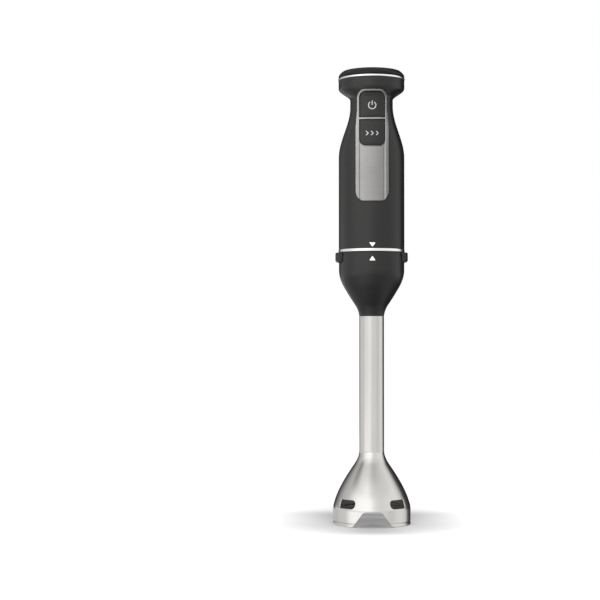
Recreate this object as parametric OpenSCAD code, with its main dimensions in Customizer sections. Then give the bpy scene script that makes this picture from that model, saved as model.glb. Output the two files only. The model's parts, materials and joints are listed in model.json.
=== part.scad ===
// Hand-held immersion blender: a motor handle that lifts off a steel blending arm.
// The arm stands on the feet of its blade guard at z = 0. The control panel faces -Y and the cord inlet +Y.

/* [Blade guard] */
// Outer radius of the guard at its skirt
guard_r = 34; // [33:0.5:37]
// Wall of the guard
guard_wall = 1.2; // [1:0.1:1.5]
// Height of the upright skirt
skirt_h = 14.6; // [14:0.2:16]
// Height from the feet to the tube
guard_h = 64; // [60:1:70]
// Height of the arch in the front and in the back
arch_h = 12.7; // [11:0.1:13.4]
// Width of the arch at its top
arch_top_w = 14; // [11:0.5:18]
// Width of the arch at the feet
arch_foot_w = 34.6; // [30:0.2:38]
// Rounding of the arch's top corners
arch_r = 3.5; // [2:0.5:5]
// Length of each flow window round the guard
window_w = 16.8; // [12:0.2:20]
// Height of each flow window
window_h = 7.4; // [5:0.2:8]
// Height of the windows' centre above the feet
window_z = 19.3; // [19:0.1:21]
// Angle of each window from the front arch
window_angle = 42.5; // [40:0.5:46]
// Rounding of the windows' corners
window_r = 2.6; // [1:0.2:2.8]

/* [Blending arm] */
// Outer radius of the tube
tube_r = 10.85; // [10.6:0.05:11.4]
// Wall of the tube
tube_wall = 1.2; // [0.8:0.1:1.3]
// Length of tube that shows
tube_len = 118; // [90:1:140]
// Radius of the drive shaft
shaft_r = 3; // [2.8:0.1:3.2]
// Height of the arm's plastic housing
housing_h = 55.7; // [54:0.1:60]
// Outer radius of the housing at its collar
collar_r = 28.75; // [28.5:0.05:29]
// Length of the housing's plug inside the tube
plug_len = 13; // [8:1:20]

/* [Blade] */
// Reach of the two long wings
blade_r = 25; // [20:0.5:27]
// Reach of the two short wings
blade_short_r = 19; // [14:0.5:22]
// Thickness of the blade
blade_t = 1.2; // [1:0.1:1.6]
// Width of a wing at its root
wing_root_w = 9; // [7:0.5:10]
// Width of a wing at its tip
wing_tip_w = 5; // [3:0.5:7]
// Height of the blade above the feet
blade_z = 18; // [17.5:0.1:19]
// Downward lean of the long wings
blade_down = 7; // [3:1:9]
// Upward lean of the short wings
blade_up = 12; // [6:1:14]
// Radius of the blade's hub
blade_hub_r = 6; // [5.4:0.1:6.6]

/* [Latch] */
// Width of each release button
release_w = 24; // [20:0.5:28]
// Height of each release button
release_h = 8.4; // [7.6:0.1:9]
// How far a release button stands out of the collar
release_out = 3.15; // [2:0.05:3.6]
// Travel of a release button
release_travel = 2.3; // [2:0.1:2.4]
// Radius of the release button's push pin
release_pin_r = 2; // [1.6:0.1:2.1]
// Radial thickness of the springy latch ring
latch_t = 1.2; // [1:0.1:1.4]
// Height of the latch ring
latch_h = 4.6; // [4:0.1:5]
// Width of the two teeth on the latch ring
tooth_w = 10; // [6:0.5:12]
// Depth of the teeth in the spigot's groove
tooth_grip = 0.9; // [0.6:0.1:1]

/* [Handle] */
// Radius of the handle's body
body_r = 28.9; // [28.5:0.1:29.2]
// Length of the straight body
body_len = 79.7; // [78:0.1:90]
// Length of the shoulder that narrows to the neck
shoulder_h = 45.5; // [42:0.5:52]
// Half width of the neck
neck_half_w = 18.7; // [18.2:0.1:20]
// Depth of the neck in front of the axis
neck_front = 25.4; // [25:0.1:27]
// Depth of the neck behind the axis
neck_rear = 21; // [20.6:0.1:23]
// Squareness of the neck's front, where 2 is an ellipse
neck_square = 2.8; // [2.2:0.1:3]
// Length of the neck's narrowest part
neck_len = 5.5; // [4:0.5:8]
// Length of the flare from the neck to the head
flare_h = 10.5; // [9.5:0.5:12]
// Radius of the head
head_r = 29; // [28.5:0.1:29.2]
// Height of the head's upright side
head_h = 6.9; // [6.5:0.1:9]
// Wall of the handle's shells
shell_wall = 2.4; // [2:0.1:2.5]
// Height of the lower trim ring
low_ring_h = 3.3; // [2.5:0.1:4]
// Height of the head's trim ring
head_ring_h = 2.2; // [2:0.1:3]
// How far the trim rings stand out
ring_proud = 0.5; // [0.2:0.1:0.8]
// Outer radius of the spigot that enters the arm
spigot_r = 20.8; // [20.4:0.05:20.9]
// Wall of the spigot
spigot_wall = 3.2; // [3:0.1:3.6]
// Depth of the spigot in the arm
spigot_depth = 17; // [16:0.5:17.5]

/* [Speed dial] */
// Radius of the dial at its foot
dial_r = 29; // [27:0.1:29.4]
// Radius of the dial's top face
dial_top_r = 25; // [22:0.5:26]
// Height of the dial
dial_h = 6.1; // [5.6:0.1:8]
// Depth of the shallow dish in the dial's top
dish_h = 0.8; // [0.4:0.1:1.2]
// Radius of the dial's spindle
spindle_r = 2.9; // [2.4:0.1:3.1]

/* [Control panel] */
// Distance from the head's rim down to the panel
panel_drop = 11.1; // [10.8:0.1:13]
// Length of the panel
panel_len = 96.8; // [92:0.2:104]
// Width of the panel at its top
panel_top_w = 26.6; // [25.6:0.1:27.6]
// Width of the panel at its bottom
panel_low_w = 29; // [28:0.1:30]
// Thickness of the panel
panel_t = 2; // [1.6:0.1:2.1]
// Rounding of the panel's corners
panel_r = 7; // [5:0.5:8]
// Width of the two buttons
button_w = 21.6; // [20.6:0.1:22]
// Height of the power button
power_h = 21.6; // [19:0.1:22]
// Height of the turbo button
turbo_h = 22.3; // [20:0.1:24]
// Width of the frame above the power button
frame_top_w = 2.2; // [1.8:0.1:3]
// Width of the bar between the buttons
divider_w = 2.6; // [2:0.1:3.4]
// Rounding of the buttons' outer corners
button_r = 5.2; // [4:0.1:6]
// How far the panel and the buttons stand out
panel_proud = 0.4; // [0.2:0.1:0.6]
// Travel of the two buttons
button_travel = 1; // [0.6:0.1:1.1]

/* [Cord inlet] */
// Radius of the gland's bore
gland_bore_r = 3.5; // [3.2:0.1:3.8]
// Outer radius of the gland
gland_r = 5.4; // [5.2:0.1:5.6]
// Reach of the gland behind the axis
gland_reach = 33.8; // [32.6:0.1:33.9]

/* [Motor] */
// Wall of the rubber rings that hold the motor in the shells
damper_t = 2.53; // [2.3:0.01:2.8]
// Length of the stator
stator_len = 30; // [26:1:32]
// Radius of the stator's bore
stator_bore_r = 15.3; // [15.2:0.05:15.5]
// Radius of the armature
armature_r = 14.9; // [14.6:0.05:15]
// Slots in the armature
armature_slots = 12; // [8:1:14]
// Radius of the commutator
commutator_r = 9; // [8.6:0.1:9.2]
// Radius of the cooling fan
fan_r = 23; // [20:0.5:24.5]
// Blades on the cooling fan
fan_blades = 9; // [6:1:12]

/* [Fits] */
// Gap between parts that are pressed or clamped together
fit = 0.05; // [0.03:0.01:0.08]
// Radial gap round a shaft that turns in a bush
running = 0.05; // [0.03:0.01:0.09]
// Gap between parts that slide or lift apart
slack = 0.3; // [0.25:0.05:0.35]

/* [Hidden] */
$fn = 72;
eps = 0.01;

// Heights of the arm, from its feet up
tube_top = guard_h + tube_len;
joint_z = tube_top + housing_h + slack;
floor_z = joint_z - spigot_depth - 1.5;
tube_bore_r = tube_r - tube_wall;

// Heights of the handle
shell_z = joint_z + low_ring_h;
shoulder_z = shell_z + body_len;
neck_z = shoulder_z + shoulder_h;
flare_z = neck_z + neck_len;
head_z = flare_z + flare_h;
rim_z = head_z + head_h;
dial_z = rim_z + head_ring_h + slack;
panel_top = rim_z - panel_drop;
panel_low = panel_top - panel_len;
power_top = panel_top - frame_top_w;
power_low = power_top - power_h;
turbo_top = power_low - divider_w;
turbo_low = turbo_top - turbo_h;
gland_z = rim_z - 7.5;

// Heights of the motor
bracket_t = 4;
end_turn_h = 6.5;
stator_z = shell_z + 36.7;
stator_top = stator_z + stator_len;
coil_top = stator_top + end_turn_h;
bracket_z = coil_top + 0.5;
holder_z = bracket_z + 3;
bridge_z = bracket_z + 12;
motor_top = bridge_z + 6.5;
low_bracket_z = stator_z - end_turn_h - 9;
fan_z = low_bracket_z - 9;
motor_screw_r = 1.5;
stator_r = body_r - shell_wall - 0.12 - damper_t - fit;
motor_screw_ring = stator_r - 2.5;
bearing_r = 6.5;
bearing_h = 5;

// Couplings: the motor's plug sits in the shaft's socket
coupling_r = 6.6;
coupling_cup_r = 9.5;
plug_low = floor_z - 11;
cup_low = plug_low - 8;
cup_top = floor_z - 0.5;

// Helpers

function bezier2(a, b, c, n) = [for (i = [0:n]) let (t = i / n) (1-t)*(1-t)*a + 2*t*(1-t)*b + t*t*c];
function bezier3(a, b, c, d, n) =
    [for (i = [0:n]) let (t = i / n) pow(1-t, 3)*a + 3*t*(1-t)*(1-t)*b + 3*t*t*(1-t)*c + pow(t, 3)*d];
function shifted(points, dx) = [for (p = points) [p.x + dx, p.y]];
function reversed(list) = [for (i = [len(list)-1:-1:0]) list[i]];
function unit(v) = v / norm(v);
function ease(t) = (1 - cos(180 * min(1, max(0, t)))) / 2;

// One corner of an outline, rounded to radius r by n steps
function corner(p, c, q, r, n) = r <= 0 ? [c] :
    let (
        u = unit(p - c), w = unit(q - c), half = acos(u * w) / 2,
        m = c + unit(u + w) * r / sin(half),
        a = c + u * r / tan(half) - m, b = c + w * r / tan(half) - m,
        from = atan2(a.y, a.x), turn = (atan2(b.y, b.x) - from + 540) % 360 - 180
    )
    [for (i = [0:n]) m + r * [cos(from + turn*i/n), sin(from + turn*i/n)]];
// An outline from corners [x, y, radius]
function rounded(corners, n = 6) = let (k = len(corners))
    [for (i = [0:k-1]) let (p = corners[(i+k-1) % k], c = corners[i], q = corners[(i+1) % k])
        each corner([p.x, p.y], [c.x, c.y], [q.x, q.y], c.z, n)];

module tube(r, bore, h, z = 0) {
    translate([0, 0, z]) difference() {
        cylinder(r = r, h = h);
        translate([0, 0, -1]) cylinder(r = bore, h = h + 2);
    }
}
module block(from, to) {
    translate(from) cube(to - from);
}
// A round bar along Y, from y0 to y1
module bar_y(r, y0, y1, x = 0, z = 0) {
    translate([x, y1, z]) rotate([90, 0, 0]) cylinder(r = r, h = y1 - y0);
}
// A round bar along X, from x0 to x1
module bar_x(r, x0, x1, y = 0, z = 0) {
    translate([x0, y, z]) rotate([0, 90, 0]) cylinder(r = r, h = x1 - x0);
}
// An outline in X and Z, carried along Y from y0 to y1
module slab_y(points, y0, y1) {
    translate([0, y1, 0]) rotate([90, 0, 0]) linear_extrude(y1 - y0) polygon(points);
}
module both_sides() {
    children();
    mirror([1, 0, 0]) children();
}
// A coil spring along Z, swept with a five-sided wire
module coil_spring(r, wire_r, turns, h, sides = 5, steps = 12) {
    count = turns * steps;
    points = [for (i = [0:count]) for (k = [0:sides-1])
        let (a = 360 * i / steps, b = 360 * k / sides, q = r + wire_r * cos(b))
        [q * cos(a), q * sin(a), wire_r + (h - 2*wire_r) * i / count + wire_r * sin(b)]];
    walls = [for (i = [0:count-1]) for (k = [0:sides-1])
        let (a = i*sides + k, b = i*sides + (k+1) % sides)
        each [[a, b, b + sides], [a, b + sides, a + sides]]];
    ends = [[for (k = [sides-1:-1:0]) k], [for (k = [0:sides-1]) count*sides + k]];
    polyhedron(points, concat(walls, ends), convexity = 10);
}

// Blade guard

function guard_outline() = concat(
    [[guard_r - 0.5, 0], [guard_r, 0.5]],
    bezier3([guard_r, skirt_h], [guard_r - 2.6, skirt_h + 13], [tube_r + 12.75, guard_h - 24],
        [tube_r + 4.15, guard_h - 11.5], 14),
    bezier2([tube_r + 4.15, guard_h - 11.5], [tube_r, guard_h - 5.2], [tube_r, guard_h], 6));

function arch_outline(w, top) = rounded([
    [-w/2 - 2*w/arch_h, -2, 0], [w/2 + 2*w/arch_h, -2, 0], [arch_foot_w/2, 0, 0],
    [arch_top_w/2, top, arch_r], [-arch_top_w/2, top, arch_r], [-arch_foot_w/2, 0, 0]]);

module window() {
    x = window_w/2 - window_r;
    y = window_h/2 - window_r;
    linear_extrude(guard_r) {
        square([window_w, 2*y], center = true);
        square([2*x, window_h], center = true);
        for (i = [-1, 1], j = [-1, 1]) translate([i*x, j*y]) circle(window_r);
    }
}

module bell_guard() {
    outer = guard_outline();
    color("silver") difference() {
        rotate_extrude() polygon(concat(outer, reversed(shifted(outer, -guard_wall))));
        for (turn = [0, 180]) rotate([0, 0, turn]) slab_y(arch_outline(arch_foot_w, arch_h), -guard_r - 2, -10);
        for (side = [-1, 1]) rotate([0, 0, side*window_angle])
            translate([0, -10, window_z]) rotate([90, 0, 0]) window();
    }
}

// Blending arm

module arm_tube() {
    color("silver") tube(tube_r, tube_bore_r, tube_len, guard_h);
}

seal_r = 7.2;
bush_r = 6;
hub_low = blade_z + 8;
hub_r = tube_bore_r - fit;
bush_h = 14;
seal_h = 5;

module bearing_housing() {
    color("dimgray") difference() {
        rotate_extrude() polygon([[0, hub_low], [hub_r - 1.2, hub_low], [hub_r, hub_low + 2.5],
            [hub_r, guard_h + 12], [0, guard_h + 12]]);
        translate([0, 0, hub_low - 1]) cylinder(r = seal_r + fit, h = seal_h + 2);
        translate([0, 0, hub_low]) cylinder(r = shaft_r + 1, h = guard_h);
        translate([0, 0, hub_low + seal_h + 5]) cylinder(r = bush_r + fit, h = guard_h);
    }
}

module lower_bush() {
    color("goldenrod") tube(bush_r, shaft_r + running, bush_h, hub_low + seal_h + 5);
}

module shaft_seal() {
    color("black") rotate_extrude() polygon([
        [shaft_r + running, hub_low + 1], [shaft_r + 1, hub_low], [seal_r, hub_low],
        [seal_r, hub_low + seal_h], [shaft_r + running, hub_low + seal_h]]);
}

// The guide centres the shaft half way up the tube, on three arms.
module shaft_guide() {
    h = 10;
    z = guard_h + tube_len/2;
    color("ivory") {
        tube(shaft_r + 2, shaft_r + running, h, z);
        tube(tube_bore_r - fit, tube_bore_r - 1.4, h, z);
        for (turn = [0:120:240]) rotate([0, 0, turn])
            block([shaft_r + 1.5, -0.8, z], [tube_bore_r - 1.2, 0.8, z + h]);
    }
}

// The latch ring is squeezed from its sides, and its teeth then leave the spigot's groove.
socket_r = spigot_r + slack;
release_z = tube_top + housing_h - release_h;
pin_z = release_z + release_h/2;
chamber_low = pin_z - latch_h/2 - slack;
cover_t = tube_top + housing_h - pin_z - latch_h/2 - slack;
latch_in_r = spigot_r + release_travel + slack;
latch_out_r = latch_in_r + latch_t;
chamber_r = latch_out_r + slack + 0.6;
chamber_shift = release_travel - 0.7;
pad_in_r = collar_r + 0.35;
pocket_r = pad_in_r - release_travel - 0.2;
cover_r = collar_r - 1.35;

function housing_outline() = concat(
    bezier2([tube_r, tube_top], [tube_r + 0.45, tube_top + 4.8], [tube_r + 3.65, tube_top + 9.8], 6),
    bezier2([collar_r - 5.85, tube_top + 23.1], [collar_r, tube_top + 32.4], [collar_r, tube_top + 40.5], 8),
    [[collar_r, tube_top + housing_h - 3], [collar_r - 0.35, tube_top + housing_h - 2.7],
     [collar_r - 0.35, tube_top + housing_h]]);

// The hollow that a release button sinks into, on the +X side
module pad_pocket(inner, gap) {
    intersection() {
        tube(collar_r + 4, inner, housing_h, release_z - 0.3);
        block([0, -release_w/2 - gap, release_z - 0.3], [60, release_w/2 + gap, joint_z + 5]);
    }
}

module arm_housing() {
    top = tube_top + housing_h;
    color("#333333") difference() {
        union() {
            rotate_extrude() polygon(concat([[0, tube_top]], housing_outline(), [[0, top]]));
            translate([0, 0, tube_top - plug_len]) cylinder(r = tube_bore_r - fit, h = plug_len + 1);
        }
        translate([0, 0, tube_top - plug_len - 1]) cylinder(r = bush_r + fit, h = housing_h + plug_len);
        translate([0, 0, cup_low - 5]) cylinder(r = coupling_cup_r + 3, h = housing_h);
        translate([0, 0, floor_z]) cylinder(r = socket_r, h = housing_h);
        for (side = [-1, 1]) translate([0, side*chamber_shift, chamber_low])
            cylinder(r = chamber_r, h = housing_h);
        translate([0, 0, top - cover_t - fit]) cylinder(r = cover_r + fit, h = housing_h);
        both_sides() {
            pad_pocket(pocket_r, 0.2);
            bar_x(release_pin_r + 0.2, chamber_r - 3, collar_r + 3, 0, pin_z);
        }
    }
}

upper_bush_h = 12;
upper_bush_z = cup_low - 5 - upper_bush_h;

module upper_bush() {
    color("goldenrod") tube(bush_r, shaft_r + running, upper_bush_h, upper_bush_z);
}

module latch_ring() {
    groove_r = spigot_r - tooth_grip;
    color("gainsboro") difference() {
        union() {
            tube(latch_out_r, latch_in_r, latch_h, pin_z - latch_h/2);
            for (side = [-1, 1]) block([-tooth_w/2, side > 0 ? groove_r : -latch_in_r - 0.6, pin_z - 1.2],
                [tooth_w/2, side > 0 ? latch_in_r + 0.6 : -groove_r, pin_z + 1.2]);
        }
        translate([0, 0, pin_z - latch_h]) cylinder(r = groove_r, h = 2*latch_h);
    }
}

module latch_cover() {
    low = tube_top + housing_h - cover_t;
    color("#2b2b2b") difference() {
        translate([0, 0, low]) cylinder(r = cover_r, h = cover_t);
        translate([0, 0, low - 1]) cylinder(r = socket_r, h = cover_t + 2);
        both_sides() pad_pocket(pocket_r - fit, 0.25);
    }
}

module release_button() {
    outer = collar_r + release_out;
    z1 = tube_top + housing_h;
    color("#2b2b2b") {
        intersection() {
            rotate_extrude() polygon(rounded([[pad_in_r, release_z, 0], [outer, release_z, 1.6],
                [outer, z1, 0.9], [pad_in_r, z1, 0]]));
            block([0, -release_w/2, release_z - 1], [60, release_w/2, z1 + 1]);
        }
        bar_x(release_pin_r, latch_out_r + fit, pad_in_r + 1, 0, pin_z);
    }
}

module release_button_left() mirror([1, 0, 0]) release_button();
module release_button_right() release_button();

// Drive shaft and blade

shaft_low = blade_z - 6;
shaft_top = plug_low - 1;

module drive_shaft() {
    color("silver") translate([0, 0, shaft_low]) cylinder(r = shaft_r, h = shaft_top - shaft_low);
}

// A six-lobed star: a core with six half-round lobes
module star(r, grow) {
    circle(r - 1.8 + grow);
    for (turn = [0:60:300]) rotate(turn) translate([r - 1.6, 0]) circle(1.6 + grow);
}

module shaft_coupling() {
    color("#222222") difference() {
        translate([0, 0, cup_low]) cylinder(r = coupling_cup_r, h = cup_top - cup_low);
        translate([0, 0, cup_low - 1]) cylinder(r = shaft_r + fit, h = 60);
        translate([0, 0, plug_low - 0.5]) linear_extrude(60) star(coupling_r, 0.2);
    }
}

module retaining_clip() {
    color("gray") tube(shaft_r + 2.4, shaft_r + fit, 1, upper_bush_z + upper_bush_h + slack);
}

function wing(reach) = rounded([[blade_hub_r - 1.5, -wing_root_w/2, 0], [reach, -wing_tip_w/2, 1.5],
    [reach - 2, wing_tip_w/2, 1.5], [blade_hub_r - 1.5, wing_root_w/2, 0]]);

module blade() {
    color("lightgray") difference() {
        union() {
            translate([0, 0, blade_z - 4]) cylinder(r = blade_hub_r, h = 10);
            for (turn = [0, 180]) {
                rotate([0, 0, turn + 20]) translate([0, 0, blade_z]) rotate([0, blade_down, 0])
                    linear_extrude(blade_t) polygon(wing(blade_r));
                rotate([0, 0, turn + 110]) translate([0, 0, blade_z]) rotate([0, -blade_up, 0])
                    linear_extrude(blade_t) polygon(wing(blade_short_r));
            }
        }
        translate([0, 0, blade_z - 5]) cylinder(r = shaft_r + fit, h = 20);
    }
}

module blade_nut() {
    z = shaft_low - 1.6;
    color("gray") difference() {
        translate([0, 0, z]) cylinder(r = 4.9, h = blade_z - 4 - z, $fn = 6);
        translate([0, 0, shaft_low - 0.1]) cylinder(r = shaft_r + fit, h = 20);
    }
}

// Handle shells

// 1 at the body and the head, 0 at the neck
function fullness(z) = 1 - ease((z - shoulder_z)/shoulder_h) + ease((z - flare_z)/flare_h);
function section_x(z) = let (r = z > neck_z ? head_r : body_r) neck_half_w + (r - neck_half_w)*fullness(z);
function section_front(z) = let (r = z > neck_z ? head_r : body_r) neck_front + (r - neck_front)*fullness(z);
function section_rear(z) = let (r = z > neck_z ? head_r : body_r) neck_rear + (r - neck_rear)*fullness(z);
// A point of the handle's skin: angle 0 is +X, 90 the front, 270 the rear
function skin_point(z, angle, out) = let (
        power = angle <= 180 ? 2 / (2 + (neck_square - 2)*(1 - fullness(z))) : 1,
        c = cos(angle), s = sin(angle)
    )
    [(section_x(z) + out) * sign(c) * pow(abs(c), power),
     angle <= 180 ? -(section_front(z) + out) * pow(abs(s), power) : (section_rear(z) + out) * abs(s),
     z];

// How far in front of and behind the axis the skin lies at x
function front_face(x, z) = let (power = 2 + (neck_square - 2)*(1 - fullness(z)))
    section_front(z) * pow(1 - pow(x/section_x(z), power), 1/power);
function rear_face(x, z) = section_rear(z) * sqrt(1 - pow(x/section_x(z), 2));

function steps(from, to, n) = [for (i = [1:n]) from + (to - from)*i/n];
shell_levels = concat([shell_z], [shoulder_z], steps(shoulder_z, neck_z, 9), [flare_z],
    steps(flare_z, head_z, 7), [rim_z]);

// A shell between two offsets of the skin, over a range of angles
module skin(levels, a0, a1, n, out, inner) {
    rows = len(levels) - 1;
    wide = 2 * (n + 1);
    points = [for (z = levels) for (off = [out, inner]) for (i = [0:n])
        skin_point(z, a0 + (a1 - a0)*i/n, off)];
    function at(row, layer, i) = row*wide + layer*(n + 1) + i;
    walls = [for (j = [0:rows-1]) for (i = [0:n-1]) each [
        [at(j, 0, i), at(j+1, 0, i+1), at(j+1, 0, i)], [at(j, 0, i), at(j, 0, i+1), at(j+1, 0, i+1)],
        [at(j, 1, i), at(j+1, 1, i), at(j+1, 1, i+1)], [at(j, 1, i), at(j+1, 1, i+1), at(j, 1, i+1)]]];
    sides = [for (j = [0:rows-1]) each [
        [at(j, 0, 0), at(j+1, 1, 0), at(j, 1, 0)], [at(j, 0, 0), at(j+1, 0, 0), at(j+1, 1, 0)],
        [at(j, 0, n), at(j, 1, n), at(j+1, 1, n)], [at(j, 0, n), at(j+1, 1, n), at(j+1, 0, n)]]];
    ends = [for (i = [0:n-1]) each [
        [at(0, 0, i), at(0, 1, i+1), at(0, 0, i+1)], [at(0, 0, i), at(0, 1, i), at(0, 1, i+1)],
        [at(rows, 0, i), at(rows, 0, i+1), at(rows, 1, i+1)],
        [at(rows, 0, i), at(rows, 1, i+1), at(rows, 1, i)]]];
    polyhedron(points, concat(walls, sides, ends), convexity = 10);
}

function panel_outline(grow = 0) = let (top = panel_top_w/2 + grow, low = panel_low_w/2 + grow) rounded([
    [-low, panel_low - grow, panel_r + grow], [low, panel_low - grow, panel_r + grow],
    [low, turbo_top - 6, 0], [top, power_low + 6, 0],
    [top, panel_top + grow, panel_r + grow], [-top, panel_top + grow, panel_r + grow],
    [-top, power_low + 6, 0], [-low, turbo_top - 6, 0]]);
function power_outline(grow = 0) = rounded([
    [-button_w/2 - grow, power_low - grow, 0.6], [button_w/2 + grow, power_low - grow, 0.6],
    [button_w/2 + grow, power_top + grow, button_r + grow],
    [-button_w/2 - grow, power_top + grow, button_r + grow]]);
function turbo_outline(grow = 0) = rounded([
    [-button_w/2 - grow, turbo_low - grow, button_r + grow],
    [button_w/2 + grow, turbo_low - grow, button_r + grow],
    [button_w/2 + grow, turbo_top + grow, 0.6], [-button_w/2 - grow, turbo_top + grow, 0.6]]);

boss_r = 4.2;
boss_inset = 8.9;
screw_r = 1.5;
screw_seat = 9;
screw_levels = [motor_top - 3, head_z + 2];

// Puts its children at each screw; the bosses reach into the shell's wall in front and behind
module at_screws() {
    for (z = screw_levels, side = [-1, 1]) {
        x = section_x(z) - boss_inset;
        $boss_front = front_face(x + boss_r, z) - 0.6*shell_wall;
        $boss_rear = rear_face(x + boss_r, z) - 0.6*shell_wall;
        translate([side*x, 0, z]) children();
    }
}

module front_shell() {
    color("#333333") difference() {
        union() {
            skin(shell_levels, 0, 180, 24, 0, -shell_wall);
            at_screws() bar_y(boss_r, -$boss_front, 0);
        }
        slab_y(panel_outline(0.15), -60, -6);
        at_screws() bar_y(screw_r + fit, -$boss_front + 3, 1);
    }
}

board_y = 8;
board_half_w = 12.3;
board_low = motor_top + 3;
board_top = flare_z + 2;
post_places = [[8.5, board_low + 4], [8.5, board_top - 5]];
gland_boss_r = gland_r + 1.6;
gland_lip = 2;
// Face of the shell that the gland's inner collar lies against
gland_seat = head_r - 6.65;
gland_collar_r = gland_r + 1.2;
vent_count = 6;
vent_pitch = 4.5;

module rear_shell() {
    color("#333333") difference() {
        union() {
            skin(shell_levels, 180, 360, 24, 0, -shell_wall);
            at_screws() bar_y(boss_r, 0, $boss_rear);
            bar_y(gland_boss_r, gland_seat, gland_reach - gland_lip, 0, gland_z);
            for (p = post_places, side = [-1, 1]) {
                bar_y(2.2, board_y + board_t + fit, rear_face(p.x, p.y) - shell_wall/2, side*p.x, p.y);
                bar_y(0.9, board_y - 0.8, board_y + board_t + 1, side*p.x, p.y);
            }
        }
        bar_y(gland_r + fit, 10, 40, 0, gland_z);
        bar_y(gland_collar_r + slack, 10, gland_seat, 0, gland_z);
        at_screws() {
            bar_y(screw_r + 0.2, -1, 30);
            bar_y(3.3, screw_seat, 40);
        }
        for (i = [0:vent_count-1]) translate([0, body_r, low_bracket_z - 8 + i*vent_pitch])
            cube([26, 18, 2], center = true);
    }
}

module lower_trim_ring() {
    color("gainsboro") tube(body_r + ring_proud, spigot_r + fit, low_ring_h - fit, joint_z);
}

cap_r = head_r - 0.8;

module head_trim_ring() {
    color("gainsboro") tube(head_r + ring_proud, cap_r + fit, head_ring_h - fit, rim_z + fit);
}

// The spigot closes the handle's lower end and enters the arm.
module coupling_spigot() {
    low = joint_z - spigot_depth;
    flange_r = body_r - shell_wall - 0.12;
    top = shell_z + 8.5;
    color("#222222") difference() {
        union() {
            translate([0, 0, low]) cylinder(r = spigot_r, h = top - low);
            translate([0, 0, shell_z + fit]) cylinder(r = flange_r, h = top - shell_z - fit);
        }
        translate([0, 0, low - 1]) cylinder(r = spigot_r - spigot_wall, h = joint_z - low - 0.5);
        translate([0, 0, joint_z + 2.5]) cylinder(r = spigot_r - spigot_wall, h = 30);
        translate([0, 0, shell_z + 2.5]) cylinder(r = flange_r - 2, h = 30);
        translate([0, 0, low]) cylinder(r = 9, h = 60);
        tube(spigot_r + 2, spigot_r - tooth_grip - slack, 3, pin_z - 1.5);
    }
}

// Control panel and buttons

panel_levels = steps(panel_low - 5, panel_top + 4, 24);
button_levels = steps(turbo_low - 4, power_top + 3, 14);

module front_patch(levels, out, inner) {
    skin(levels, 35, 145, 12, out, inner);
}

module control_panel() {
    color("darkgray") difference() {
        intersection() {
            front_patch(panel_levels, panel_proud, panel_proud - panel_t);
            slab_y(panel_outline(), -60, -6);
        }
        slab_y(power_outline(0.2), -60, -6);
        slab_y(turbo_outline(0.2), -60, -6);
    }
}

carrier_y = 13;
carrier_t = 1.6;
board_t = 1.6;
switch_h = 3.5;
carrier_low = motor_top - 2.5;
carrier_top = panel_top - 0.2;
switch_face = -(carrier_y + carrier_t + board_t + 2*fit + switch_h);
plunger_face = switch_face - button_travel - 0.2;
button_back = 2.6;
power_mid = (power_low + power_top)/2;
turbo_mid = (turbo_low + turbo_top)/2;
leg_places = [carrier_low + 3, carrier_top - 6];
leg_x = button_w/2 + 1.2;
// How far the legs reach forward, to just behind the panel
function leg_reach(z) = front_face(leg_x + 1, z) + panel_proud - panel_t - 0.3;

// A flat bracket behind the panel; its four legs reach the panel's back
module control_carrier() {
    color("ivory") {
        block([-13, -carrier_y - carrier_t, carrier_low], [13, -carrier_y, carrier_top]);
        for (z = leg_places, side = [-1, 1]) bar_y(0.9, -leg_reach(z), -carrier_y - eps, side*leg_x, z);
    }
}

module button_board() {
    y = -carrier_y - carrier_t - fit;
    color("darkgreen") block([-9.5, y - board_t, carrier_low + 1], [9.5, y, carrier_top - 1]);
}

plunger_r = 1.7;

module push_switch(z) {
    color("black") difference() {
        block([-3.1, switch_face, z - 3.1], [3.1, switch_face + switch_h, z + 3.1]);
        bar_y(plunger_r + running, switch_face - 1, switch_face + switch_h - 0.6, 0, z);
    }
}

module power_switch() push_switch(power_mid);
module turbo_switch() push_switch(turbo_mid);

module plunger(z) {
    color("ivory") bar_y(plunger_r, plunger_face, switch_face + 1.2, 0, z);
}

module power_plunger() plunger(power_mid);
module turbo_plunger() plunger(turbo_mid);

module push_button(outline, z) {
    back = section_front(z) - button_back;
    color("#2e2e2e") {
        intersection() {
            front_patch(button_levels, panel_proud - 0.1, -button_back);
            slab_y(outline, -60, -6);
        }
        bar_y(2.4, -back - 0.6, plunger_face - fit, 0, z);
    }
}

module power_button() push_button(power_outline(), power_mid);
module turbo_button() push_button(turbo_outline(), turbo_mid);

// Electronics

module speed_board() {
    color("darkgreen") difference() {
        block([-board_half_w, board_y, board_low], [board_half_w, board_y + board_t, board_top]);
        for (p = post_places, side = [-1, 1]) bar_y(1, 0, 20, side*p.x, p.y);
    }
}

module board_components() {
    y = board_y - fit;
    color("peru") {
        block([-11, y - 7, board_low + 8], [1, y, board_low + 19]);
        block([4, y - 4.5, board_low + 8], [10.5, y, board_low + 17]);
        bar_y(4.6, y - 9, y, 5.5, board_low + 24);
        block([-10, y - 3, board_low + 22], [-3, y, board_low + 30]);
    }
}

// Head

module head_cap() {
    color("#222222") difference() {
        union() {
            translate([0, 0, rim_z + fit]) cylinder(r = cap_r, h = head_ring_h - fit - 0.15);
            translate([0, 0, rim_z - 2.8]) cylinder(r = 9, h = 4);
        }
        translate([0, 0, rim_z - 5]) cylinder(r = spindle_r + running, h = 20);
    }
}

module speed_sensor() {
    color("#44506b") difference() {
        translate([0, 0, rim_z - 11.8]) cylinder(r = 8, h = 8.95);
        translate([0, 0, rim_z - 10.5]) cylinder(r = spindle_r + 0.1, h = 20);
    }
}

module dial_spindle() {
    color("silver") translate([0, 0, rim_z - 10]) cylinder(r = spindle_r, h = dial_z + 3.6 - rim_z + 10);
}

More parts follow.
